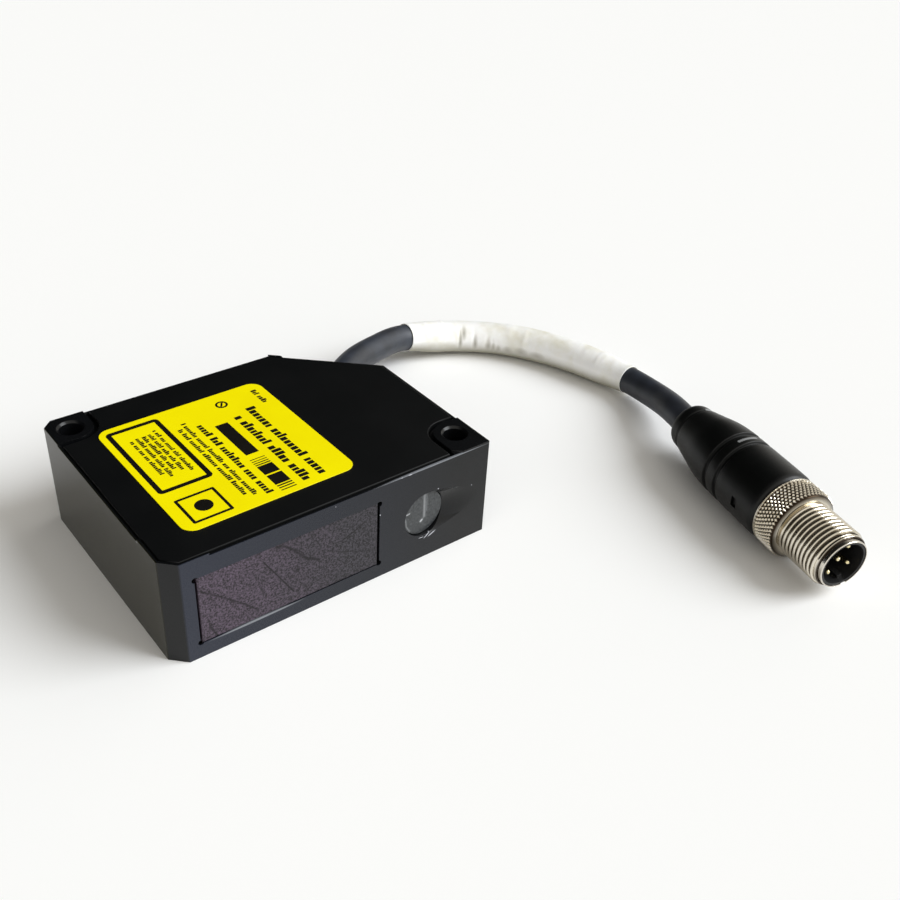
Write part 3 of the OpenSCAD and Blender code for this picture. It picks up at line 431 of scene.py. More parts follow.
# Gland and boot: a turned, nickel plated gland screwed through the cut-off corner, its nut
# inside, and a soft moulded boot with three bending grooves that eases the cable out. The
# nickel has a warm grey lustre with fine turning marks, the rubber is dull and even.
def everywhere(at, along):
    """The full bevel on every sharp edge."""
    return 1.0


nickel = grained("nickel_plated_brass", ("cfc9bf", "dcd6cb"), (0.16, 0.24), 0.12 * MM,
    0.0015 * MM, Metallic=1.0)
boot_rubber = grained("soft_black_rubber", ("141516", "1d1e20"), (0.5, 0.62), 0.12 * MM,
    0.008 * MM, IOR=1.5)
dressed(nickel, "gland_nickel", "gland_nut")
broken_edges("gland", "cable_gland", everywhere, nickel, 0.12 * MM)
boot = broken_edges("boot", "strain_relief", everywhere, boot_rubber, 0.12 * MM)


# Cable: five conductors in a round dark grey jacket of PVC, a little shiny and dusty, in one
# stiff bow from the gland to the plug. Drawing the jacket left fine streaks along it.
# Points of the cable's middle line, in millimetres, joined by one smooth curve:
ROUTE = [Vector(p) * MM for p in [(20.9, 12.2, 10.2), (29, 21.1, 10.2), (31.2, 23.5, 10.2),
    (38.6, 29.3, 9.5), (47.5, 33.7, 8.2), (59.3, 37.7, 6), (66.4, 36.6, 4.7), (72.3, 34.2, 4.2),
    (81.3, 26.8, 4.1), (88, 16.2, 4.1), (91.7, 5.3, 4.1), (93.4, -5, 4.2), (92.6, -12, 4.8),
    (90.7, -17.7, 6), (88.03, -23.45, 7.4), (86.63, -27.5, 7.6), (84.7, -35, 7.6)]]
CABLE_R = 3.1 * MM


def bearing(i):
    """Direction of the route at one of its points, weighted by the lengths on both sides."""
    if i in (0, len(ROUTE) - 1):
        return (ROUTE[max(i, 1)] - ROUTE[max(i, 1) - 1]).normalized()
    before, after = ROUTE[i] - ROUTE[i - 1], ROUTE[i + 1] - ROUTE[i]
    a, b = before.length, after.length
    return (after / b * a + before / a * b) / (a + b)


def along_route(first, last, steps):
    """Places on the smooth curve through the route, from one of its points to another."""
    line = []
    for i in range(first, last):
        p, q = ROUTE[i], ROUTE[i + 1]
        h = (q - p).length
        for k in range(steps):
            t = k / steps
            line.append((2 * t**3 - 3 * t * t + 1) * p + (t**3 - 2 * t * t + t) * h * bearing(i)
                + (3 * t * t - 2 * t**3) * q + (t**3 - t * t) * h * bearing(i + 1))
    return line + [ROUTE[last]]


def ring_frames(line):
    """Place, level side and upward direction at each point of a line, and how far along it is."""
    frames, gone = [], 0.0
    for i, p in enumerate(line):
        ahead = (line[min(i + 1, len(line) - 1)] - line[max(i - 1, 0)]).normalized()
        side = Vector((-ahead.y, ahead.x, 0)).normalized()
        gone += (p - line[i - 1]).length if i else 0
        frames.append((p, side, ahead.cross(side), gone))
    return frames


def tube(frames, radius, sides, inner=0):
    """A tube along frames; radius(angle, distance) gives its outside. Its UV is in metres."""
    bm = bmesh.new()
    uv = bm.loops.layers.uv.new("uv")
    skins = []
    for skin in ([radius, lambda a, d: inner] if inner else [radius]):
        skins.append([[bm.verts.new(p + skin(2 * math.pi * k / sides, d)
            * (math.cos(2 * math.pi * k / sides) * side + math.sin(2 * math.pi * k / sides) * up))
            for k in range(sides)] for p, side, up, d in frames])
    for rings in skins:
        for i in range(len(rings) - 1):
            for k in range(sides):
                m = (k + 1) % sides
                face = bm.faces.new((rings[i][k], rings[i][m], rings[i + 1][m], rings[i + 1][k]))
                face.smooth = True
                places = ((k, i), (k + 1, i), (k + 1, i + 1), (k, i + 1))
                for corner, (u, v) in zip(face.loops, places):
                    corner[uv].uv = (u / sides * 2 * math.pi * CABLE_R, frames[v][3])
    for end in (0, -1):
        if inner:
            for k in range(sides):
                m = (k + 1) % sides
                bm.faces.new((skins[0][end][k], skins[0][end][m], skins[1][end][m],
                    skins[1][end][k]))
        else:
            bm.faces.new(skins[0][end])
    bmesh.ops.recalc_face_normals(bm, faces=bm.faces)
    return made(bm, "tube")


cable_line = along_route(0, len(ROUTE) - 1, 10)
cable_frames = ring_frames(cable_line)
jacket, tree, shader, place = finish_named("grey_pvc_jacket", {"IOR": 1.53})
at = place.outputs["UV"]
streak = add(tree, "ShaderNodeMapping", {"Vector": at, "Scale": (1.0, 0.12, 1.0)})
drawn = add(tree, "ShaderNodeTexNoise", {"Vector": streak.outputs["Vector"],
    "Scale": 1 / (0.5 * MM), "Detail": 3.0})
dirt = add(tree, "ShaderNodeTexNoise", {"Vector": place.outputs["Object"], "Scale": 1 / (5 * MM),
    "Detail": 3.0})
tone = add(tree, "ShaderNodeMapRange", {"Value": dirt.outputs["Fac"], "From Min": 0.35,
    "From Max": 0.65})
gloss = add(tree, "ShaderNodeMapRange", {"Value": drawn.outputs["Fac"], "To Min": 0.38,
    "To Max": 0.58})
lines = add(tree, "ShaderNodeBump", {"Height": drawn.outputs["Fac"], "Distance": 0.02 * MM,
    "Strength": 0.5})
feed(tree, shader, {"Base Color": two_tones(tree, tone.outputs["Result"], "22252c", "2f343e"),
    "Roughness": gloss.outputs["Result"], "Normal": lines.outputs["Normal"]})
cable = keep("cable_jacket", tube(cable_frames, lambda a, d: CABLE_R, 48), jacket,
    ["cable"])


# Marker sleeve: a white film sleeve pulled over the bow. It is a little loose, so it folds
# into short cross wrinkles where the bow presses it, and its seam runs along the underside.
# The film is satin PVC that lets a little light in.
SLEEVE_FROM, SLEEVE_TO = 5, 11
SLEEVE_R, SLEEVE_END_R, SLEEVE_WIDEST, SLEEVE_EASE = 3.86 * MM, 3.36 * MM, 3.99 * MM, 9 * MM
sleeve_frames = ring_frames(along_route(SLEEVE_FROM, SLEEVE_TO, 40))
SLEEVE_L = sleeve_frames[-1][3]
rng = random.Random(7)
# Wrinkles: distance along the sleeve, angle of the middle, width along and round, height
WRINKLES = [(rng.uniform(0.02, 0.98) * SLEEVE_L, rng.uniform(-0.6, 2.6),
    rng.uniform(0.35, 0.9) * MM, rng.uniform(0.5, 1.3), rng.uniform(-0.07, 0.09) * MM)
    for _ in range(60)]
# Sharp creases on the inside of the bow: the same, in millimetres, with a depth for the height
CREASES = [(14.1, 2.9, 0.36, 0.8, 0.2), (15.0, 2.3, 0.4, 0.5, 0.1), (18.3, 3.0, 0.42, 0.6, 0.24),
    (21.9, 3.1, 0.5, 0.45, 0.24), (23.3, 3.2, 0.36, 0.4, 0.2), (24.7, 3.3, 0.4, 0.35, 0.2),
    (27.2, 3.3, 0.8, 0.35, 0.12), (31.0, 3.2, 1.0, 0.35, 0.1), (35.5, 3.2, 1.2, 0.3, 0.1)]
WRINKLES += [(d * MM, middle, long * MM, wide, -deep * MM)
    for d, middle, long, wide, deep in CREASES]
SEAM, SEAM_WIDE, SEAM_HIGH = math.radians(208), 0.5, 0.09 * MM


def sleeve_radius(angle, d):
    """Radius of the film: eased to both ends, with wrinkles, a lapped seam and a slow wave."""
    end = min(min(d, SLEEVE_L - d) / SLEEVE_EASE, 1)
    r = SLEEVE_END_R + (SLEEVE_R - SLEEVE_END_R) * end * end * (3 - 2 * end)
    for place_d, middle, long, wide, high in WRINKLES:
        away = (d - place_d) / long
        if abs(away) < 3:
            turn = (angle - middle + math.pi) % (2 * math.pi) - math.pi
            r += high * math.exp(-away * away - (turn / wide) ** 2)
    past = (angle - SEAM + math.pi) % (2 * math.pi) - math.pi
    if 0 < past < SEAM_WIDE:
        r += SEAM_HIGH * (1 - past / SEAM_WIDE) * end
    r += 0.05 * MM * end * math.sin(2 * angle + d / (6 * MM))
    return min(max(r, CABLE_R + 0.2 * MM), SLEEVE_WIDEST)


film, tree, shader, place = finish_named("white_pvc_film", {"IOR": 1.5, "Roughness": 0.42,
    "Subsurface Weight": 0.06, "Subsurface Scale": 1.0,
    "Subsurface Radius": (0.6 * MM, 0.5 * MM, 0.4 * MM)})
soil = add(tree, "ShaderNodeTexNoise", {"Vector": place.outputs["Object"], "Scale": 1 / (6 * MM),
    "Detail": 4.0})
tone = add(tree, "ShaderNodeMapRange", {"Value": soil.outputs["Fac"], "From Min": 0.45,
    "From Max": 0.75})
crease = add(tree, "ShaderNodeTexNoise", {"Vector": place.outputs["Object"],
    "Scale": 1 / (1.2 * MM), "Detail": 2.0})
fold = add(tree, "ShaderNodeBump", {"Height": crease.outputs["Fac"], "Distance": 0.12 * MM,
    "Strength": 0.35})
feed(tree, shader, {"Base Color": two_tones(tree, tone.outputs["Result"], "fefefd", "e2dfce"),
    "Normal": fold.outputs["Normal"]})
# The underside is greyed by painted shade, with some grime, and the creases are darkened by painted
# shade. The film's own coordinates are metres round the cable (across) and along it (up).
unrolled = place.outputs["UV"]
across = add(tree, "ShaderNodeSeparateXYZ", {"Vector": unrolled}).outputs["X"]
below = add(tree, "ShaderNodeMapRange", {"Value": across, "From Min": 9.2 * MM,
    "From Max": 11.6 * MM}).outputs["Result"]
outside = add(tree, "ShaderNodeMapRange", {"Value": across, "From Min": 16.2 * MM,
    "From Max": 17.8 * MM, "To Min": 1.0, "To Max": 0.0}).outputs["Result"]
underside_painted_shade = add(tree, "ShaderNodeMath", {0: below, 1: outside}, operation="MULTIPLY")
# Painted shade on the underside, with some grime
over(film, underside_painted_shade.outputs[0], "a19e8f")
# Painted shade in the creases
over(film, spots(tree, unrolled, [((middle * 3.1 + 0.5, d + 0.3, 0),
    (wide * 3.6, long * 2.2, 1), 0) for d, middle, long, wide, deep in CREASES], 0.0), "b6b3aa")
sleeve = keep("marker_film", tube(sleeve_frames, sleeve_radius, 72, inner=CABLE_R + 0.12 * MM),
    film, ["marker_sleeve"])


# Cover: a flat aluminium plate let into the housing's rim on a rubber gasket and cut out
# round both lugs. It is glued, lacquered matt black, and chamfered all round.
COVER_TOP = 20.8 * MM


def cover_edge(at, along):
    """The bevel runs round the upper edges only."""
    return 1.0 if at.z > COVER_TOP - 0.1 * MM else 0.0


matt_black = grained("matt_black_lacquer", ("060708", "0a0b0c"), (0.45, 0.55), 0.08 * MM,
    0.003 * MM, patch=12 * MM, **{"IOR": 1.45, "Specular IOR Level": 0.2})
broken_edges("cover_plate", "cover", cover_edge, matt_black, 0.22 * MM)
dressed(boot_rubber, "gasket_rubber", "cover_gasket")


# Label: a yellow polyester sticker, pressed on a little askew, with round corners and a
# satin face. Its matt black print is plain: a framed table, a square mark, a round mark, a
# solid bar, stripes and rows of blocks.
yellow = grained("yellow_polyester_label", ("f6e600", "fbee00"), (0.3, 0.4), 0.5 * MM,
    0.003 * MM, patch=14 * MM, **{"IOR": 1.5, "Specular IOR Level": 0.25})
broken_edges("label_film", "label", everywhere, yellow, 0.04 * MM)

LABEL_PLACE, LABEL_TURN = (-8.55 * MM, -0.6 * MM, 20.92 * MM), math.radians(0.7)
PRINT_PLACE = Matrix.Translation(LABEL_PLACE) @ Matrix.Rotation(LABEL_TURN, 4, "Z")
# Thickness of the ink; the print is drawn in millimetres
INK_T = 0.012
ink_bm = bmesh.new()


def plate(points):
    """A thin slab of ink over the points, which are in millimetres on the label."""
    low = [ink_bm.verts.new((x, y, 0)) for x, y in points]
    high = [ink_bm.verts.new((x, y, INK_T)) for x, y in points]
    ink_bm.faces.new(low[::-1])
    ink_bm.faces.new(high)
    for k in range(len(points)):
        m = (k + 1) % len(points)
        ink_bm.faces.new((low[k], low[m], high[m], high[k]))


def bar(x0, y0, x1, y1):
    """A solid rectangle of ink."""
    plate([(x0, y0), (x1, y0), (x1, y1), (x0, y1)])


def frame_of(x0, y0, x1, y1, wide, corner):
    """A frame with rounded corners, as slabs from corner to corner."""
    outer, inner = [], []
    for cx, cy, start in ((x1, y1, 0), (x0, y1, 90), (x0, y0, 180), (x1, y0, 270)):
        for k in range(7):
            a = math.radians(start + 15 * k)
            mx = cx - math.copysign(corner, cx - (x0 + x1) / 2)
            my = cy - math.copysign(corner, cy - (y0 + y1) / 2)
            outer.append((mx + corner * math.cos(a), my + corner * math.sin(a)))
            small = max(corner - wide, 0.05)
            mx2 = cx - math.copysign(wide + small, cx - (x0 + x1) / 2)
            my2 = cy - math.copysign(wide + small, cy - (y0 + y1) / 2)
            inner.append((mx2 + small * math.cos(a), my2 + small * math.sin(a)))
    low_o, low_i = ([ink_bm.verts.new((x, y, 0)) for x, y in loop] for loop in (outer, inner))
    top_o, top_i = ([ink_bm.verts.new((x, y, INK_T)) for x, y in loop] for loop in (outer, inner))
    n = len(outer)
    for k in range(n):
        m = (k + 1) % n
        for a, b in ((top_o, top_i), (low_i, low_o), (low_o, top_o), (top_i, low_i)):
            ink_bm.faces.new((a[k], a[m], b[m], b[k]))


def words(x, y0, y1, high, seed):
    """A row of plain blocks in groups, from y0 to y1, with its foot at x."""
    rng = random.Random(seed)
    step, y, left = math.copysign(1, y1 - y0), y0, rng.randint(4, 9)
    while (y1 - y) * step > 0.5 * high:
        wide = high * rng.uniform(0.36, 0.56)
        tall = high * rng.choice((0.68, 0.7, 1.0))
        bar(x, min(y, y + step * wide), x + tall, max(y, y + step * wide))
        y += step * (wide + 0.13 * high)
        left -= 1
        if left == 0:
            left, y = rng.randint(3, 9), y + step * 0.5 * high


# The framed table and its five lines
frame_of(-15.9, -6.2, -5.7, 15.75, 0.95, 0.9)
for n, (x, y0, y1) in enumerate(((-8.3, -2.6, 12.6), (-9.6, -1.6, 12.0), (-10.8, -0.6, 12.3),
        (-12.0, -2.4, 11.9), (-13.2, -1.0, 11.2))):
    words(x, y0, y1, 0.85, 20 + n)
# The square mark with its dot, and the round mark with its slanted bar
frame_of(-14.9, -16.4, -7.5, -9.0, 0.55, 0.3)
plate([(-11.2 + 1.6 * math.cos(math.radians(15 * k)), -12.7 + 1.6 * math.sin(math.radians(15 * k)))
    for k in range(24)])
frame_of(5.2, 12.1, 7.6, 14.5, 0.42, 1.19)
plate([(5.85, 12.75), (6.2, 12.6), (6.95, 13.85), (6.6, 14.0)])
# The large lines, with the solid bar and the stripes between them
words(9.3, -16.1, 10.0, 1.9, 1)
words(13.3, 9.6, 14.8, 1.15, 2)
words(6.0, -16.2, 8.0, 1.9, 3)
bar(1.7, -4.1, 4.3, 7.3)
for y0, y1 in ((-16.6, -16.35), (-15.9, -15.6), (-15.25, -14.9), (-14.6, -11.5), (-11.1, -8.3),
        (-8.0, -7.7), (-7.35, -7.1), (-6.7, -6.5), (-6.0, -5.8)):
    bar(1.4, y0, 4.4, y1)
words(-1.1, -15.9, 9.8, 1.45, 4)
words(-3.1, -14.9, 11.8, 0.95, 5)
words(-4.5, -14.0, 10.4, 0.95, 6)
bmesh.ops.recalc_face_normals(ink_bm, faces=ink_bm.faces)
ink_mesh = made(ink_bm, "ink")
ink_mesh.transform(PRINT_PLACE @ Matrix.Scale(MM, 4))
ink = grained("black_printing_ink", ("070503", "0d0a05"), (0.5, 0.6), 0.2 * MM, 0.002 * MM,
    **{"IOR": 1.5, "Specular IOR Level": 0.25})
keep("label_print", ink_mesh, ink, [])


# Plug, inside out: gold plated pins in a black moulded insert, in a thin nickel plated
# sleeve with a key notch. All three are pressed together before the grip is moulded on.
# The gold is pale and bright, the nylon dull. The plug's own Z runs from its rear to its end.
PLUG_WAY, PLUG_REAR = math.radians(255.6), (86.18 * MM, -29.22 * MM, 7.6 * MM)
PLUG = Matrix.Translation(PLUG_REAR) @ Matrix((
    (0, -math.sin(PLUG_WAY), math.cos(PLUG_WAY)), (0, math.cos(PLUG_WAY), math.sin(PLUG_WAY)),
    (-1, 0, 0))).to_4x4()
gold = grained("gold_plated_pin", ("e6d8a8", "f0e4bc"), (0.15, 0.25), 0.1 * MM, 0.001 * MM,
    Metallic=1.0)
insert_black = grained("black_moulded_nylon", ("0a0a0b", "101012"), (0.45, 0.6), 0.15 * MM,
    0.004 * MM, IOR=1.5)
pins = broken_edges("pins", "contact_pins", everywhere, gold, 0.08 * MM)
insert = broken_edges("insert", "contact_insert", everywhere, insert_black,
    0.06 * MM)
shell = broken_edges("metal_sleeve", "plug_shell", everywhere, nickel, 0.05 * MM)


# Coupling ring: turned brass, nickel plated, with a knurled collar and an M12 thread of one
# millimetre. It turns on the metal sleeve. Knurl and thread are real ridges, so each facet
# takes its own light.
def softened(profile, steps=3):
    """A closed profile of (along, radius, ease) with each corner turned into a small curve."""
    out, n = [], len(profile)
    for i, (s, r, ease) in enumerate(profile):
        b = Vector((s, r))
        a, c = Vector(profile[i - 1][:2]), Vector(profile[(i + 1) % n][:2])
        if not ease:
            out.append(b)
            continue
        p = b + (a - b) * min(ease / (a - b).length, 0.45)
        q = b + (c - b) * min(ease / (c - b).length, 0.45)
        for k in range(steps + 1):
            t = k / steps
            out.append((1 - t) ** 2 * p + 2 * t * (1 - t) * b + t * t * q)
    return out


def turned(profile, sides):
    """A closed profile of (along, radius) in millimetres turned round the plug's axis."""
    bm = bmesh.new()
    rings = [[bm.verts.new((r * math.cos(2 * math.pi * k / sides),
        r * math.sin(2 * math.pi * k / sides), s)) for k in range(sides)] for s, r in profile]
    for i in range(len(rings)):
        for k in range(sides):
            m = (k + 1) % sides
            low, high = rings[i - 1], rings[i]
            bm.faces.new((low[k], low[m], high[m], high[k])).smooth = True
    bmesh.ops.remove_doubles(bm, verts=bm.verts, dist=1e-5)
    bmesh.ops.recalc_face_normals(bm, faces=bm.faces)
    return made(bm, "turned")


def tree_with(name, inputs):
    """A geometry tree with named inputs, and its input and output nodes."""
    tree = bpy.data.node_groups.new(name, "GeometryNodeTree")
    tree.interface.new_socket(name="Body", in_out="INPUT", socket_type="NodeSocketGeometry")
    for label, kind in inputs:
        tree.interface.new_socket(name=label, in_out="INPUT", socket_type="NodeSocket" + kind)
    tree.interface.new_socket(name="Piece", in_out="OUTPUT", socket_type="NodeSocketGeometry")
    return tree, add(tree, "NodeGroupInput").outputs, add(tree, "NodeGroupOutput").inputs


def close_tree(tree, given, result, geometry):
    """Ends a tree: the new ridges joined to the body, made real, with the material."""
    join = add(tree, "GeometryNodeJoinGeometry", {"Geometry": geometry})
    tree.links.new(given["Body"], join.inputs["Geometry"])
    real = add(tree, "GeometryNodeRealizeInstances", {"Geometry": join.outputs["Geometry"]})
    metal = add(tree, "GeometryNodeSetMaterial", {"Geometry": real.outputs["Geometry"],
        "Material": given["Material"]})
    tree.links.new(metal.outputs["Geometry"], result["Piece"])


# Knurl tree: diamonds with flattened tops, in staggered rows round the collar
knurl, given, result = tree_with("knurl", (("Around", "Int"), ("Rows", "Int"), ("Radius", "Float"),
    ("Start", "Float"), ("Row Step", "Float"), ("Width", "Float"), ("Height", "Float"),
    ("Depth", "Float"), ("Material", "Material")))
count = add(knurl, "ShaderNodeMath", {0: given["Around"], 1: given["Rows"]}, operation="MULTIPLY")
points = add(knurl, "GeometryNodePoints", {"Count": count.outputs[0]})
index = add(knurl, "GeometryNodeInputIndex").outputs["Index"]
share = add(knurl, "ShaderNodeMath", {0: index, 1: given["Around"]}, operation="DIVIDE")
row = add(knurl, "ShaderNodeMath", {0: share.outputs[0]}, operation="FLOOR").outputs[0]
odd = add(knurl, "ShaderNodeMath", {0: row, 1: 2.0}, operation="MODULO").outputs[0]
shift = add(knurl, "ShaderNodeMath", {0: odd, 1: 0.5, 2: index}, operation="MULTIPLY_ADD")
steps = add(knurl, "ShaderNodeMath", {0: shift.outputs[0], 1: given["Around"]},
    operation="DIVIDE")
angle = add(knurl, "ShaderNodeMath", {0: steps.outputs[0], 1: 2 * math.pi},
    operation="MULTIPLY").outputs[0]
cos = add(knurl, "ShaderNodeMath", {0: angle}, operation="COSINE").outputs[0]
sin = add(knurl, "ShaderNodeMath", {0: angle}, operation="SINE").outputs[0]
x = add(knurl, "ShaderNodeMath", {0: cos, 1: given["Radius"]}, operation="MULTIPLY").outputs[0]
y = add(knurl, "ShaderNodeMath", {0: sin, 1: given["Radius"]}, operation="MULTIPLY").outputs[0]
z = add(knurl, "ShaderNodeMath", {0: row, 1: given["Row Step"], 2: given["Start"]},
    operation="MULTIPLY_ADD").outputs[0]
spot = add(knurl, "ShaderNodeCombineXYZ", {"X": x, "Y": y, "Z": z}).outputs["Vector"]
placed = add(knurl, "GeometryNodeSetPosition", {"Geometry": points.outputs["Points"],
    "Position": spot})
diamond = add(knurl, "GeometryNodeMeshCone", {"Vertices": 4, "Radius Top": 0.2,
    "Radius Bottom": 1.0, "Depth": 1.0})
facing = add(knurl, "ShaderNodeCombineXYZ", {"Y": math.pi / 2, "Z": angle}).outputs["Vector"]
half_h = add(knurl, "ShaderNodeMath", {0: given["Height"], 1: 0.5}, operation="MULTIPLY")
half_w = add(knurl, "ShaderNodeMath", {0: given["Width"], 1: 0.5}, operation="MULTIPLY")
size = add(knurl, "ShaderNodeCombineXYZ", {"X": half_h.outputs[0], "Y": half_w.outputs[0],
    "Z": given["Depth"]}).outputs["Vector"]
turn = add(knurl, "FunctionNodeEulerToRotation", {"Euler": facing})
studs = add(knurl, "GeometryNodeInstanceOnPoints", {"Points": placed.outputs["Geometry"],
    "Instance": diamond.outputs["Mesh"], "Rotation": turn.outputs["Rotation"], "Scale": size})
close_tree(knurl, given, result, studs.outputs["Instances"])

# Thread tree: one ridge with a flat crest along a helix, fading out at both of its ends
thread, given, result = tree_with("thread", (("Turns", "Float"), ("Pitch", "Float"),
    ("Radius", "Float"), ("Start", "Float"), ("Ridge", "Float"), ("Foot", "Float"),
    ("Crest", "Float"), ("Material", "Material")))
rise = add(thread, "ShaderNodeMath", {0: given["Turns"], 1: given["Pitch"]},
    operation="MULTIPLY").outputs[0]
helix = add(thread, "GeometryNodeCurveSpiral", {"Resolution": 96, "Rotations": given["Turns"],
    "Start Radius": given["Radius"], "End Radius": given["Radius"], "Height": rise})
upright = add(thread, "GeometryNodeSetCurveNormal", {"Curve": helix.outputs["Curve"]})
upright.mode = "Z_UP"
along = add(thread, "GeometryNodeSplineParameter").outputs["Factor"]
middle = add(thread, "ShaderNodeMath", {0: along, 1: 0.5}, operation="SUBTRACT").outputs[0]
from_end = add(thread, "ShaderNodeMath", {0: middle}, operation="ABSOLUTE").outputs[0]
fade = add(thread, "ShaderNodeMapRange", {"Value": from_end, "From Min": 0.47, "From Max": 0.5,
    "To Min": 1.0, "To Max": 0.05})
profile = add(thread, "GeometryNodeCurvePrimitiveQuadrilateral", {"Height": given["Ridge"],
    "Bottom Width": given["Foot"], "Top Width": given["Crest"], "Offset": 0.0}, mode="TRAPEZOID")
# The curve's normal looks at the axis, so the ridge is turned and moved the other way
out = add(thread, "ShaderNodeMath", {0: given["Ridge"], 1: -0.42}, operation="MULTIPLY")
move = add(thread, "ShaderNodeCombineXYZ", {"X": out.outputs[0]}).outputs["Vector"]
tooth = add(thread, "GeometryNodeTransform", {"Geometry": profile.outputs["Curve"],
    "Translation": move, "Rotation": (0, 0, math.pi / 2)})
ridge = add(thread, "GeometryNodeCurveToMesh", {"Curve": upright.outputs["Curve"],
    "Profile Curve": tooth.outputs["Geometry"], "Scale": fade.outputs["Result"],
    "Fill Caps": True})
lift = add(thread, "ShaderNodeCombineXYZ", {"Z": given["Start"]}).outputs["Vector"]
lifted = add(thread, "GeometryNodeTransform", {"Geometry": ridge.outputs["Mesh"],
    "Translation": lift})
close_tree(thread, given, result, lifted.outputs["Geometry"])


def grown(mesh, trees):
    """The mesh with each tree's pieces added by Geometry Nodes, as one plain mesh."""
    holder = into_scene("holder", mesh)
    for tree, values in trees:
        modifier = holder.modifiers.new(tree.name, "NODES")
        modifier.node_group = tree
        for item in tree.interface.items_tree:
            if item.in_out == "INPUT" and item.name in values:
                modifier[item.identifier] = values[item.name]
    bpy.context.view_layer.update()
    graph = bpy.context.evaluated_depsgraph_get()
    result = bpy.data.meshes.new_from_object(holder.evaluated_get(graph))
    bpy.data.objects.remove(holder)
    return result


# Sizes in millimetres, along the plug from its rear
RING_SIDES = 144
AROUND, ROWS, KNURL_R, KNURL_TOP_R, KNURL_FROM, ROW_STEP = 54, 7, 7.1, 7.3, 33.45, 0.64
THREAD_FROM, THREAD_ROOT, PITCH, TURNS = 38.6, 5.5, 1.0, 9.6
ring_profile = softened([(32.45, 6.28, 0), (32.45, 7.2, 0.1), (32.7, 7.45, 0.1),
    (32.9, 7.45, 0.05), (32.95, KNURL_R, 0), (37.9, KNURL_R, 0), (38.0, 7.0, 0.05),
    (38.38, 6.45, 0.08), (38.45, 5.75, 0.05), (THREAD_FROM, 5.52, 0.05),
    (48.1, THREAD_ROOT, 0.05), (48.2, 5.64, 0.05), (48.6, 5.62, 0.1), (48.75, 5.45, 0.05),
    (48.75, 5.23, 0), (34.45, 5.23, 0), (34.45, 6.28, 0)])
ring_mesh = grown(turned(ring_profile, RING_SIDES), ((knurl, {"Around": AROUND, "Rows": ROWS,
    "Radius": KNURL_R - 0.02, "Start": KNURL_FROM, "Row Step": ROW_STEP,
    "Width": 2 * math.pi * KNURL_TOP_R / AROUND, "Height": 1.2, "Depth": 0.4,
    "Material": nickel}),
    (thread, {"Turns": TURNS, "Pitch": PITCH, "Radius": THREAD_ROOT, "Start": THREAD_FROM,
        "Ridge": 0.54, "Foot": 0.98, "Crest": 0.14, "Material": nickel})))
ring_mesh.transform(PLUG @ Matrix.Scale(MM, 4))
# The nickel is bright and a little yellow where it is rubbed. Found by the distance from the plug's
# axis, the thread's root, the collar's front and the valleys of the knurl are darkened: partly old
# oil and dirt, partly painted shade in these hollows.
ring_nickel = grained("nickel_plated_brass_oil_and_shade", ("cfc8b9", "e0d9cb"), (0.11, 0.19), 0.12 * MM,
    0.0015 * MM, Metallic=1.0)
tree = ring_nickel.node_tree
at = add(tree, "ShaderNodeTexCoord").outputs["Object"]
off = add(tree, "ShaderNodeVectorMath", {0: at, 1: PLUG.translation}, operation="SUBTRACT")
across = add(tree, "ShaderNodeVectorMath", {0: off.outputs["Vector"], 1: PLUG.col[2].xyz},
    operation="CROSS_PRODUCT").outputs["Vector"]
radius = add(tree, "ShaderNodeVectorMath", {0: across}, operation="LENGTH").outputs["Value"]
root = add(tree, "ShaderNodeMapRange", {"Value": radius, "From Min": 5.46 * MM,
    "From Max": 5.63 * MM, "To Min": 1.0, "To Max": 0.0}).outputs["Result"]
collar = add(tree, "ShaderNodeMapRange", {"Value": radius, "From Min": 6.05 * MM,
    "From Max": 7.0 * MM}).outputs["Result"]
valley = add(tree, "ShaderNodeMapRange", {"Value": radius, "From Min": 7.1 * MM,
    "From Max": 7.26 * MM, "To Min": 1.0, "To Max": 0.0}).outputs["Result"]
low = add(tree, "ShaderNodeMath", {0: collar, 1: valley, 2: root}, operation="MULTIPLY_ADD")
# Painted shade, with old oil, in the thread's root, on the collar's front and in the knurl's
# valleys
over(ring_nickel, low.outputs[0], "33291f")
ring = keep("ring", ring_mesh, ring_nickel, ["coupling_ring"], body="screw_ring")


# Grip: black PVC moulded over the cable's end and the insert: a rounded rear with a step, a
# cone, two ring grooves, a barrel with a lip, and a short slot in its side. The mould's
# eroded steel left it a fine dull grain.
grip_profile = softened([(0, 3.25, 0), (0, 4.1, 0.3), (0.35, 4.75, 0.3), (1.2, 5.15, 0.4),
    (2.9, 5.3, 0.12), (3.1, 5.2, 0.05), (3.6, 5.2, 0.05), (3.8, 5.5, 0.12), (5.4, 5.85, 0.8),
    (7.6, 6.35, 0.9), (9.6, 6.85, 0.9), (11.6, 7.2, 0.9), (13.6, 7.4, 0.9), (15.9, 7.5, 0.14),
    (16.1, 6.95, 0.08), (16.9, 6.95, 0.08), (17.1, 7.5, 0.14), (19.3, 7.52, 0.14),
    (19.5, 7.0, 0.08), (20.3, 7.0, 0.08), (20.5, 7.52, 0.14), (23, 7.55, 0.9),
    (27.3, 7.6, 0.9), (31.1, 7.6, 0.3), (31.8, 7.4, 0.2), (32.3, 7.0, 0.12), (32.3, 5.2, 0),
    (28.25, 5.2, 0), (28.25, 4.25, 0), (23.25, 4.25, 0), (23.25, 0, 0), (6, 0, 0),
    (6, 3.25, 0)])
GRIP_SIDES, SLOT_TURN = 128, math.radians(-87)
SLOT_PLACE, SLOT_SIZE = (8.0, 0, 26.55), (2, 2.2, 1.5, 1)
grip_holder = into_scene("grip", turned(grip_profile, GRIP_SIDES))
slot_bm = bmesh.new()
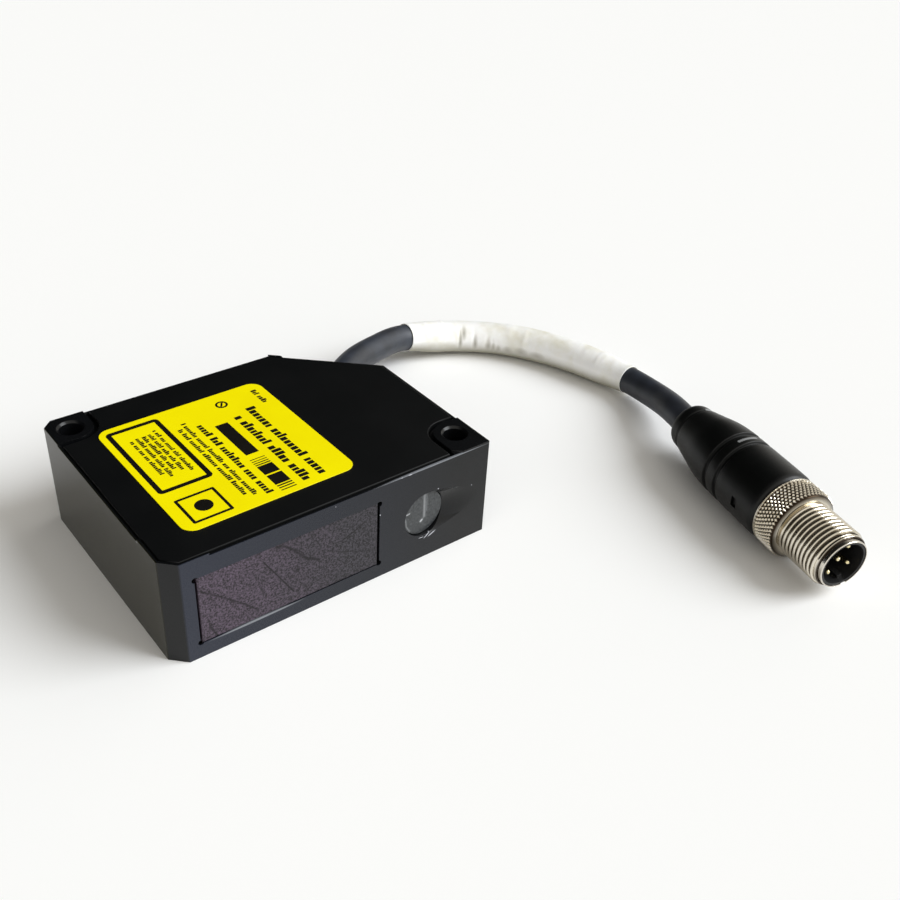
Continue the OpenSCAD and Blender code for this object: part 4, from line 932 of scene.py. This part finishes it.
bmesh.ops.create_cube(slot_bm, size=1.0, matrix=Matrix.Rotation(SLOT_TURN, 4, "Z")
    @ Matrix.Translation(SLOT_PLACE) @ Matrix.Diagonal(SLOT_SIZE))
cutter = into_scene("cutter", made(slot_bm, "slot"))
cut = grip_holder.modifiers.new("slot", "BOOLEAN")
cut.object, cut.solver = cutter, "EXACT"
bpy.context.view_layer.update()
grip_mesh = bpy.data.meshes.new_from_object(grip_holder.evaluated_get(
    bpy.context.evaluated_depsgraph_get()))
bpy.data.objects.remove(grip_holder)
bpy.data.objects.remove(cutter)
grip_mesh.transform(PLUG @ Matrix.Scale(MM, 4))
grip_mesh.set_sharp_from_angle(angle=math.radians(40))
grip_pvc = grained("black_pvc_grip", ("050606", "0a0b0b"), (0.34, 0.46), 0.25 * MM, 0.008 * MM,
    patch=8 * MM, **{"IOR": 1.5, "Specular IOR Level": 0.3})
# Two short painted highlights, on the land between the grooves and on the rear step: radius, place
# along the plug and first degree
grip_painted_highlights = [PLUG @ (Matrix.Rotation(math.radians(a), 4, "Z") @ Vector((r * MM, 0, d * MM)))
    for r, d, first in ((7.52, 18.1, 162), (5.3, 2.95, 132)) for a in range(first, first + 36, 4)]
tree = grip_pvc.node_tree
over(grip_pvc, spots(tree, add(tree, "ShaderNodeTexCoord").outputs["Object"],
    [(p / MM, (0.42, 0.42, 0.2), 0) for p in grip_painted_highlights]), "8c8e90")
grip = keep("grip", grip_mesh, grip_pvc, ["plug_grip"])


# Studio: a white floor, a pale room with one dark wall behind the object, a wide lamp at the
# front right, and the camera at the photograph's height and distance.
def look(position, forward, down):
    """Camera matrix from its place, the way it looks and the picture's downward direction."""
    back, up = -Vector(forward).normalized(), -Vector(down).normalized()
    right = up.cross(back)
    turn = Matrix((right, back.cross(right), back)).transposed()
    return Matrix.Translation(position) @ turn.to_4x4()


camera = into_scene("camera", bpy.data.cameras.new("camera"))
CAMERA_PLACE = (-80.056 * MM, -147.866 * MM, 131.063 * MM)
CAMERA_WAY, PICTURE_DOWN = (0.53224, 0.63388, -0.56118), (-0.31342, -0.46823, -0.82615)
camera.matrix_world = look(CAMERA_PLACE, CAMERA_WAY, PICTURE_DOWN)
camera.data.sensor_width, camera.data.lens = 36, 43.267
camera.data.clip_start, camera.data.clip_end = 0.01, 20
bpy.context.scene.camera = camera

floor_mesh = bpy.data.meshes.new("floor")
SPAN = 4
floor_mesh.from_pydata([(-SPAN, -SPAN, 0), (SPAN, -SPAN, 0), (SPAN, SPAN, 0), (-SPAN, SPAN, 0)],
    [], [(0, 1, 2, 3)])
floor = into_scene("floor", floor_mesh)
floor.location.z = -0.05 * MM
floor_mesh.materials.append(finish_named("white_paper", {"Roughness": 0.9,
    "Specular IOR Level": 0.1, "Base Color": colour("fbfbfb")})[0])

room = bpy.data.worlds.new("room")
bpy.context.scene.world = room
room.use_nodes = True
tree = room.node_tree
toward = add(tree, "ShaderNodeTexCoord").outputs["Generated"]
DARK_WALL = (-0.25, 0.92, 0.3)
facing = add(tree, "ShaderNodeVectorMath", {0: toward, 1: DARK_WALL}, operation="DOT_PRODUCT")
wall = add(tree, "ShaderNodeMapRange", {"Value": facing.outputs["Value"], "From Min": 0.12,
    "From Max": 0.55}, interpolation_type="SMOOTHSTEP")
feed(tree, tree.nodes["Background"], {"Strength": 0.88,
    "Color": two_tones(tree, wall.outputs["Result"], "fffbf2", "1c1c1b")})

lamp = into_scene("lamp", bpy.data.lights.new("lamp", "SUN"))
lamp.data.energy, lamp.data.angle = 2.8, math.radians(40)
lamp.data.color = (0.93, 0.965, 1.0)
lamp.rotation_euler = Vector((0.7, -0.6, 0.7)).to_track_quat("Z", "Y").to_euler()

bpy.context.scene.view_settings.view_transform = "Standard"
